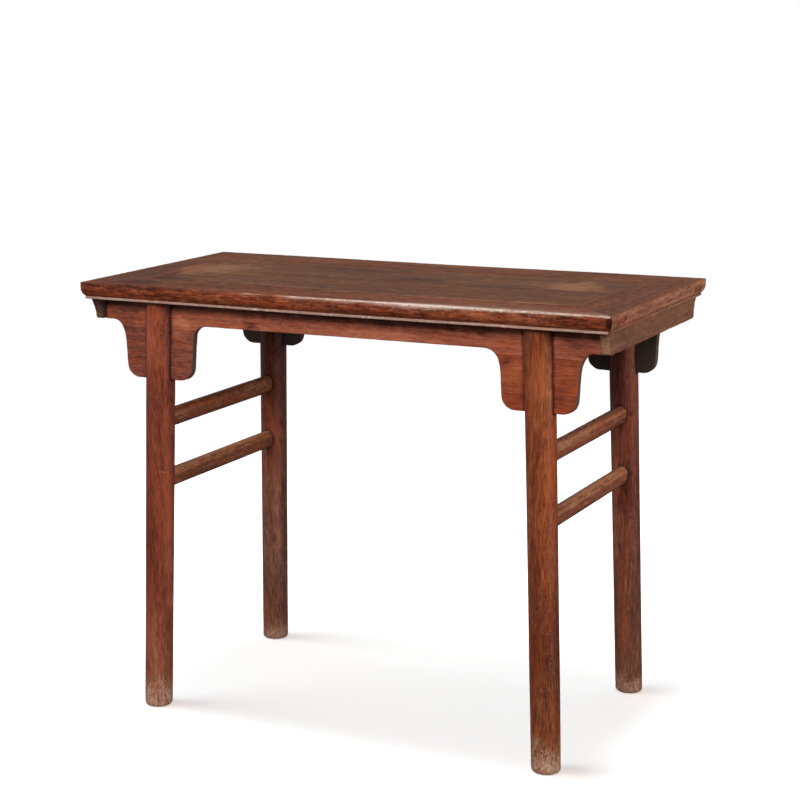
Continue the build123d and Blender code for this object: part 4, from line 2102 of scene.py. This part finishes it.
@dataclass
class Legs:
    """Four round legs, slotted for the boards, with worn feet."""

    lines: Lines
    shop: Workshop
    segments: int = 96
    slot_clearance: float = 0.9 * MM
    slot_drop: float = 0.5 * MM
    foot_ease: float = 6.5 * MM
    foot_rings: int = 40
    foot_zone: float = 90 * MM
    worn_zone: float = 46 * MM
    bare_top: float = 120 * MM
    bare_height: float = 52 * MM
    bare_sway: float = 12 * MM
    ring_step: float = 6 * MM
    planing: Pair = (0.30 * MM, 0.12 * MM)
    rot_depth: float = 1.9 * MM
    fibre_depth: float = 0.9 * MM
    crack_width: float = 1.3 * MM
    dust_top: Pair = (290 * MM, 430 * MM)
    dust_fade: float = 240 * MM

    def stations(self) -> list[float]:
        """Space a leg's rings, close together at the foot.

        Returns:
            Their heights.
        """
        zone, eased = self.foot_zone, self.foot_ease
        foot = [eased * (1.0 - math.cos(angle)) for angle in quarter_turn(7)]
        rings = self.foot_rings
        low = [eased + (zone - eased) * i / rings for i in range(1, rings + 1)]
        count = round((self.lines.underside - zone) / self.ring_step)
        high = [zone + (self.lines.underside - zone) * i / count for i in range(1, count + 1)]
        return foot + low + high

    def foot_radius(self, level: float) -> float:
        """Find the radius of the leg with its rounded foot.

        Args:
            level: The height.

        Returns:
            The radius there.
        """
        radius = self.lines.radius(level)
        if level < self.foot_ease:
            rest = self.foot_ease - level
            radius -= self.foot_ease - math.sqrt(max(self.foot_ease**2 - rest**2, 0.0))
        return radius

    def bar(self, side: Side, face: Face) -> BMesh:
        """Raise a leg ring by ring.

        Args:
            side: The end of the table.
            face: The long face.

        Returns:
            The leg as a closed, tapered bar.
        """
        bm = bmesh.new()
        levels = self.stations()
        centre = self.lines.axis(side, face, levels[0])
        radius = self.foot_radius(levels[0])
        ring = bmesh.ops.create_circle(bm, segments=self.segments, radius=radius, cap_ends=True)
        bmesh.ops.translate(bm, verts=ring["verts"], vec=centre)
        edges = bm.edges[:]
        for level in levels[1:]:
            grown = bmesh.ops.extrude_edge_only(bm, edges=edges)["geom"]
            verts = [item for item in grown if isinstance(item, BMVert)]
            edges = [item for item in grown if isinstance(item, BMEdge)]
            moved = self.lines.axis(side, face, level)
            share = self.foot_radius(level) / radius
            bmesh.ops.translate(bm, verts=verts, vec=moved - centre)
            place = Matrix.Translation(-moved)
            bmesh.ops.scale(bm, verts=verts, vec=(share, share, 1.0), space=place)
            centre, radius = moved, radius * share
        bmesh.ops.edgeloop_fill(bm, edges=edges)
        recalculate(bm)
        return bm

    def slot(self, side: Side, face: Face) -> BMesh:
        """Shape the block that opens the slot for the boards.

        Args:
            side: The end of the table.
            face: The long face.

        Returns:
            The mesh.
        """
        lines = self.lines
        bottom = lines.spandrel_bottom - self.slot_drop
        tall = lines.height - bottom + 20 * MM
        size = Vector((4 * lines.radius_top, tall, lines.board_thickness + 2 * self.slot_clearance))
        centre = Vector((lines.axis(side, face, bottom).x, bottom + tall / 2, 0.0))
        cutter = block(size, centre)
        bmesh.ops.transform(cutter, matrix=lines.board_matrix(face), verts=cutter.verts[:])
        recalculate(cutter)
        return cutter

    def foot_dent(self, way: Vector, level: float, seed: int) -> float:
        """Find how deep rot and torn fibres have eaten into a foot, before it fades upwards.

        Args:
            way: The direction outwards.
            level: The height.
            seed: Which leg.

        Returns:
            The depth.
        """
        soft_spot = Vector((way.x * 4.0, way.y * 4.0, level * 55.0 + 3 * seed))
        torn_spot = Vector((way.x * 22.0, way.y * 22.0, level * 12.0 + seed))
        rot = max(0.0, noise.fractal(soft_spot, 0.9, 2.1, 4) + 0.05) * self.rot_depth
        return rot + max(0.0, noise.noise(torn_spot)) * self.fibre_depth

    def weather(
        self, bm: BMesh, side: Side, face: Face, seed: int, cracks: Sequence[Crack]
    ) -> None:
        """Plane a leg a little uneven, wear its foot and open its cracks.

        Args:
            bm: The leg.
            side: The end of the table.
            face: The long face.
            seed: Which leg.
            cracks: The cracks in its foot.
        """
        for vert in bm.verts:
            level = vert.co.z
            centre = self.lines.axis(side, face, level)
            out = Vector((vert.co.x - centre.x, vert.co.y - centre.y, 0.0))
            if out.length < 5 * MM:
                continue
            way = out.normalized()
            broad = Vector((way.x * 1.6, way.y * 1.6, level * 7.0 + seed))
            narrow = Vector((way.x * 9.0, way.y * 9.0, level * 3.0 + seed))
            dent = -self.planing[0] * noise.noise(broad) - self.planing[1] * noise.noise(narrow)
            low = 1.0 - smooth_step(level / self.worn_zone)
            if low > 0.0:
                dent += low * self.foot_dent(way, level, seed)
            angle = math.atan2(way.y, way.x)
            for crack in cracks:
                swing = math.radians(crack.degrees) + 0.05 * math.sin(level * 90.0 + seed)
                aside = abs((angle - swing + math.pi) % (2 * math.pi) - math.pi) * out.length
                depth = crack.depth * math.sqrt(max(0.0, 1.0 - level / crack.height))
                dent += depth * max(0.0, 1.0 - aside / self.crack_width)
            vert.co -= way * dent

    def foot_wear(self, seed: int, side: Side, face: Face) -> Rule:
        """Say how bare the wood at the foot is.

        Args:
            seed: Which ragged edge.
            side: The end of the table.
            face: The long face.

        Returns:
            The rule.
        """
        share = 1.0 if face is Face.FRONT else 0.7

        def level(point: Vector) -> float:
            """Find how bare the wood is.

            Args:
                point: The place.

            Returns:
                A value, 1 or more for bare wood.
            """
            height = point.z
            if height > self.bare_top:
                return 0.0
            centre = self.lines.axis(side, face, height)
            way = Vector((point.x - centre.x, point.y - centre.y)).normalized()
            ragged = noise.fractal(Vector((way.x * 1.5, way.y * 1.5, seed * 2.3)), 0.9, 2.0, 2)
            edge = (self.bare_height + self.bare_sway * ragged) * share
            return 1.15 - height / edge * 0.75

        return level

    def dusty(self, side: Side, face: Face) -> FacedRule:
        """Say how mops and dust have greyed the lower part of a leg.

        Args:
            side: The end of the table.
            face: The long face.

        Returns:
            The rule.
        """
        top = self.dust_top[face is Face.BACK]
        share = 0.55 if side is Side.RIGHT and face is Face.FRONT else 1.0
        return lambda point, normal: share * ramp(point.z, top, -self.dust_fade)

    def build(self) -> None:
        """Make the four legs."""
        for seed, (face, side) in enumerate((f, s) for f in Face for s in Side):
            corner = f"{face.name.lower()}_{side.name.lower()}"
            look = LEG_LOOKS[corner]
            bm = self.bar(side, face)
            self.weather(bm, side, face, seed, look.cracks)
            subtract(bm, self.slot(side, face))
            timber = Timber(
                f"leg_{corner}",
                bm,
                bare_foot=self.foot_wear(seed, side, face),
                aged=self.dusty(side, face),
                marks=look.marks,
                rubs=look.rubs,
                grime_level=0.85,
            )
            lean = -side.value * math.degrees(self.lines.run_out(side, face) / self.lines.height)
            heart = (0.3 * seed, -face.value * 0.19, 0.37 * side.value)
            self.shop.finish(timber, look.finish, Grain(GrainWay.UPRIGHT, heart, lean))


# ---- stretchers and pegs ----
@dataclass(frozen=True)
class Rail:
    """One height of stretchers: its level, and its painted bands of light and shade as (millimetres
    up, reach, tone).
    """

    name: str
    level: float
    lit_and_shaded_bands: tuple[Triple, ...]

    def marks(self, x: float) -> tuple[Mark, ...]:
        """Set the painted bands of light and shade out on one bar.

        Args:
            x: Its place along the table, in millimetres.

        Returns:
            The marks.
        """
        level = self.level / MM
        return tuple(
            Mark((x, 0, level + up), (30, 600, reach), tone) for up, reach, tone in self.lit_and_shaded_bands
        )


@dataclass
class Stretchers:
    """Two oval bars between the legs at each end, scribed to them and pegged."""

    lines: Lines
    shop: Workshop
    rails: tuple[Rail, ...] = (
        # painted light on the upper side of each bar and painted shade on its underside
        Rail("upper", 545.8 * MM, ((9, 8, 0.34), (-15, 8, -0.24))),
        Rail("lower", 431.5 * MM, ((9, 8, 0.50), (16, 5, 0.45), (-15, 8, -0.24))),
    )
    marks_x: float = 380
    width: float = 23.4 * MM
    height: float = 35.2 * MM
    fullness: float = 0.88
    segments: int = 56
    rings: int = 90
    gap: float = 0.25 * MM
    sheen: float = 0.5
    sheen_depth: float = 3.0 * MM
    peg_radius: float = 2.5 * MM
    peg_rise: float = 3 * MM
    peg_shrink: float = 0.2 * MM
    finish: TimberFinish = TimberFinish(
        slot="stretcher_wood",
        dark=(62, 28, 16),
        middle=(126, 70, 44),
        light=(176, 118, 82),
        streaks=0.8,
        polish=0.4,
    )
    peg_finish: TimberFinish = TimberFinish(
        slot="peg_wood", dark=(40, 24, 18), middle=(70, 42, 32), light=(110, 76, 56)
    )

    def bar(self, side: Side, level: float) -> BMesh:
        """Draw out one bar and scribe its ends to the legs.

        Args:
            side: The end of the table.
            level: The height of its middle.

        Returns:
            The bar.
        """
        lines = self.lines
        x = sum(lines.axis(side, face, level).x for face in Face) / 2
        bm = bmesh.new()
        bmesh.ops.create_circle(bm, segments=self.segments, radius=0.5, cap_ends=True)
        for vert in bm.verts:
            full = [math.copysign(abs(2 * c) ** self.fullness, c) / 2 for c in vert.co[:2]]
            vert.co.x, vert.co.y = full[0] * self.width, full[1] * self.height
        bmesh.ops.rotate(bm, verts=bm.verts[:], matrix=Matrix.Rotation(math.pi / 2, 3, "X"))
        bmesh.ops.translate(bm, verts=bm.verts[:], vec=Vector((x, -1.0, level)))
        extrude(bm, ACROSS * 2)
        lengthwise = [edge for edge in bm.edges if abs(run_of(edge).y) > 1.0]
        bmesh.ops.subdivide_edges(bm, edges=lengthwise, cuts=self.rings, use_grid_fill=True)
        for vert in bm.verts:
            leg = lines.axis(side, Face.FRONT if vert.co.y < 0.0 else Face.BACK, vert.co.z)
            radius = lines.radius(vert.co.z)
            across = vert.co.x - leg.x
            vert.co.y *= abs(leg.y) - math.sqrt(radius**2 - across**2) - self.gap
        return bm

    def build_bar(self, side: Side, rail: Rail) -> None:
        """Make one bar.

        Args:
            side: The end of the table.
            rail: Its height.
        """
        bm = self.bar(side, rail.level)
        seed = 71 + side.value + round(rail.level * 10)
        hand_work(bm, 0.25 * MM, (18.0, 7.0, 18.0), seed)
        timber = Timber(
            f"stretcher_{side.name.lower()}_{rail.name}",
            bm,
            # painted sheen: a pale line along the top of the bar
            extra_wear=self.edge_sheen(rail.level),
            marks=rail.marks(side.value * self.marks_x),
            grime_reach=9 * MM,
            grime_level=0.85,
        )
        heart = (0.1 * seed, 0.30 + 0.01 * seed % 0.1, -0.50)
        self.shop.finish(timber, self.finish, Grain(GrainWay.ACROSS_TABLE, heart))

    def build(self) -> None:
        """Make the four bars and the eight pegs."""
        for side in Side:
            for rail in self.rails:
                self.build_bar(side, rail)
        bm = bmesh.new()
        for face in Face:
            for side in Side:
                for rail in self.rails:
                    join(bm, self.peg(side, face, rail.level + self.peg_rise))
        timber = Timber("stretcher_pegs", bm, grime_reach=3 * MM, grime_level=0.4)
        self.shop.finish(timber, self.peg_finish, Grain(GrainWay.UPRIGHT))

    def edge_sheen(self, level: float) -> Rule:
        """Say where a pale line along a bar's top paints its sheen.

        Args:
            level: The bar's height.

        Returns:
            The rule.
        """
        half, rise = self.height / 2, 1.6 * MM
        return lambda point: self.sheen * ramp(point.z - level - half, -self.sheen_depth, rise)

    def peg(self, side: Side, face: Face, level: float) -> BMesh:
        """Turn one peg, whose head stands just proud of the leg.

        Args:
            side: The end of the table.
            face: The long face.
            level: The peg's height.

        Returns:
            The peg.
        """
        outwards = Vector((side.value, -face.value, 0.0)).normalized()
        centre = self.lines.axis(side, face, level)
        length = self.lines.radius(level) - self.peg_shrink
        radii = {"radius1": self.peg_radius, "radius2": self.peg_radius}
        bm = bmesh.new()
        bmesh.ops.create_cone(bm, cap_ends=True, segments=20, depth=length, **radii)
        rim = [edge for edge in sharp_edges(bm) if all(vert.co.z > 0 for vert in edge.verts)]
        ease(bm, rim, 0.5 * MM, 2)
        turn = outwards.to_track_quat("Z", "Y").to_matrix().to_4x4()
        turn.translation = centre + outwards * (length / 2)
        bmesh.ops.transform(bm, matrix=turn, verts=bm.verts[:])
        return bm


# ---- studio ----
@dataclass(frozen=True)
class Lamp:
    """A large soft lamp, far away, by its direction: azimuth 0 is in front, 90 on the right."""

    name: str
    azimuth: float
    elevation: float
    strength: float
    spread: float
    colour: Triple = (1.0, 1.0, 1.0)
    distance: float = 4.0

    def hang(self) -> None:
        """Add the lamp to the scene."""
        turn, rise = math.radians(self.azimuth), math.radians(self.elevation)
        flat = math.cos(rise)
        towards = Vector((math.sin(turn) * flat, -math.cos(turn) * flat, math.sin(rise)))
        light = bpy.data.lights.new(self.name, "SUN")
        light.energy = self.strength
        light.angle = math.radians(self.spread)
        light.color = self.colour
        lamp = hang_up(self.name, light)
        lamp.rotation_euler = (-towards).to_track_quat("-Z", "Y").to_euler()
        lamp.location = towards * self.distance


@dataclass
class Studio:
    """A white floor that fades into a white room, and soft lamps."""

    floor_radius: float = 4.0
    fade: Pair = (1.6, 3.2)
    floor_shade: float = 0.5
    shown_shade: float = 5.1
    floor_lift: float = 0.49
    floor_lean: Triple = (-0.89, 0.44, 0.12)
    shadow_centre: Pair = (0.00, 0.05)
    shadow_reach: Pair = (0.41, 0.24)
    shadow_fade: float = 0.22
    room_light: float = 0.16
    mirrored_share: float = 0.05
    lamps: tuple[Lamp, ...] = (
        Lamp("front_window", -12, 28, 1.94, 16),
        Lamp("front_right_window", 38, 29, 0.6, 16),
        Lamp("left_window", -64, 16, 0.62, 54),
        Lamp("ceiling", 100, 86, 0.9, 18),
        Lamp("right_window", 84, 10, 2.0, 24, (0.96, 0.98, 1.0)),
    )

    def build(self) -> None:
        """Make the room, the floor and the lamps."""
        self.room()
        self.floor()
        for lamp in self.lamps:
            lamp.hang()
        bpy.context.scene.view_settings.view_transform = "Standard"

    def seen(self, g: Graph) -> NodeSocket:
        """Tell the rays that look straight at a surface, or are mirrored or bent towards it.

        Args:
            g: The nodes to add to.

        Returns:
            A value that is 1 for them.
        """
        path = g.add("LightPath").outputs
        glossy = g.times(path["Is Glossy Ray"], self.mirrored_share)
        mirrored = g.math("MAXIMUM", glossy, path["Is Transmission Ray"])
        return g.math("MAXIMUM", path["Is Camera Ray"], mirrored)

    def room(self) -> None:
        """Light the room evenly and show it white."""
        world = bpy.data.worlds.new("white_room")
        world.use_nodes = True
        g = Graph(world.node_tree)
        lit = g.add("Background", {"Color": WHITE, "Strength": self.room_light})
        shown = g.add("Background", {"Color": WHITE, "Strength": 1.0})
        mixed = g.add("MixShader", {0: self.seen(g), 1: lit.outputs[0], 2: shown.outputs[0]})
        g.add("OutputWorld", {"Surface": mixed.outputs[0]})
        bpy.context.scene.world = world

    def floor_material(self) -> Material:
        """Make the floor's white, whose leaning shading carries the left window's shadows.

        Returns:
            The material.
        """
        material = bpy.data.materials.new("white_floor")
        material.use_nodes = True
        g = Graph(material.node_tree)
        place = g.add("TexCoord").outputs["Object"]
        away = g.add("VectorMath", {0: place}, operation="LENGTH").outputs["Value"]
        axes = g.add("SeparateXYZ", {0: place}).outputs
        sides = []
        for axis, centre, reach in zip(axes, self.shadow_centre, self.shadow_reach):
            aside = g.math("ABSOLUTE", g.math("SUBTRACT", axis, centre))
            sides.append(g.mask(aside, reach, reach + self.shadow_fade))
        outside = g.math("MAXIMUM", *sides)
        lean = g.add("CombineXYZ", dict(enumerate(self.floor_lean))).outputs[0]
        shown = g.times(self.seen(g), self.shown_shade - self.floor_shade)
        card = g.add("BsdfDiffuse", {"Color": g.total(self.floor_shade, shown), "Normal": lean})
        faded = g.times(outside, 1.0 - self.floor_lift)
        lift = g.times(self.seen(g), g.total(self.floor_lift, faded))
        glow = g.add("Emission", {"Color": WHITE, "Strength": lift})
        lit = g.add("AddShader", {0: card.outputs[0], 1: glow.outputs[0]})
        clear = g.add("BsdfTransparent")
        share = g.mask(away, *self.fade)
        mixed = g.add("MixShader", {0: share, 1: lit.outputs[0], 2: clear.outputs[0]})
        g.add("OutputMaterial", {"Surface": mixed.outputs[0]})
        return material

    def floor(self) -> None:
        """Lay the floor."""
        bm = bmesh.new()
        bmesh.ops.create_circle(bm, segments=96, radius=self.floor_radius, cap_ends=True)
        mesh = bpy.data.meshes.new("floor")
        bm.to_mesh(mesh)
        bm.free()
        mesh.materials.append(self.floor_material())
        hang_up("floor", mesh)


@dataclass(frozen=True)
class Viewpoint:
    """The camera: in front of the right half of the table, a little above it."""

    location: Triple = (1.55262, -3.15163, 1.27478)
    heading: float = 26.045
    dip: float = 11.404
    roll: float = -0.332
    lens: float = 85.955
    sensor: float = 36.0
    clip: Pair = (0.05, 60.0)

    def build(self) -> None:
        """Add the camera and make it the scene's."""
        data = bpy.data.cameras.new("camera")
        data.lens = self.lens
        data.sensor_width = self.sensor
        data.clip_start, data.clip_end = self.clip
        place = Matrix.Translation(self.location)
        for angle, axis in ((self.heading, "Z"), (90 - self.dip, "X"), (self.roll, "Z")):
            place = place @ Matrix.Rotation(math.radians(angle), 4, axis)
        camera = hang_up("camera", data)
        camera.matrix_world = place
        bpy.context.scene.camera = camera


def main() -> None:
    """Load the frame, build every piece around it and light it."""
    logging.basicConfig(level=logging.INFO, format="%(message)s")
    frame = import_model()
    Viewpoint().build()
    Studio().build()
    lines = Lines.measured()
    shop = Workshop(frame["nodes"], Effects())
    for assembly in (TopFrame, Battens, LongBoards, EndAprons, Legs, Stretchers):
        assembly(lines, shop).build()
        LOG.info("%s done", assembly.__name__)


if __name__ == "__main__":
    main()
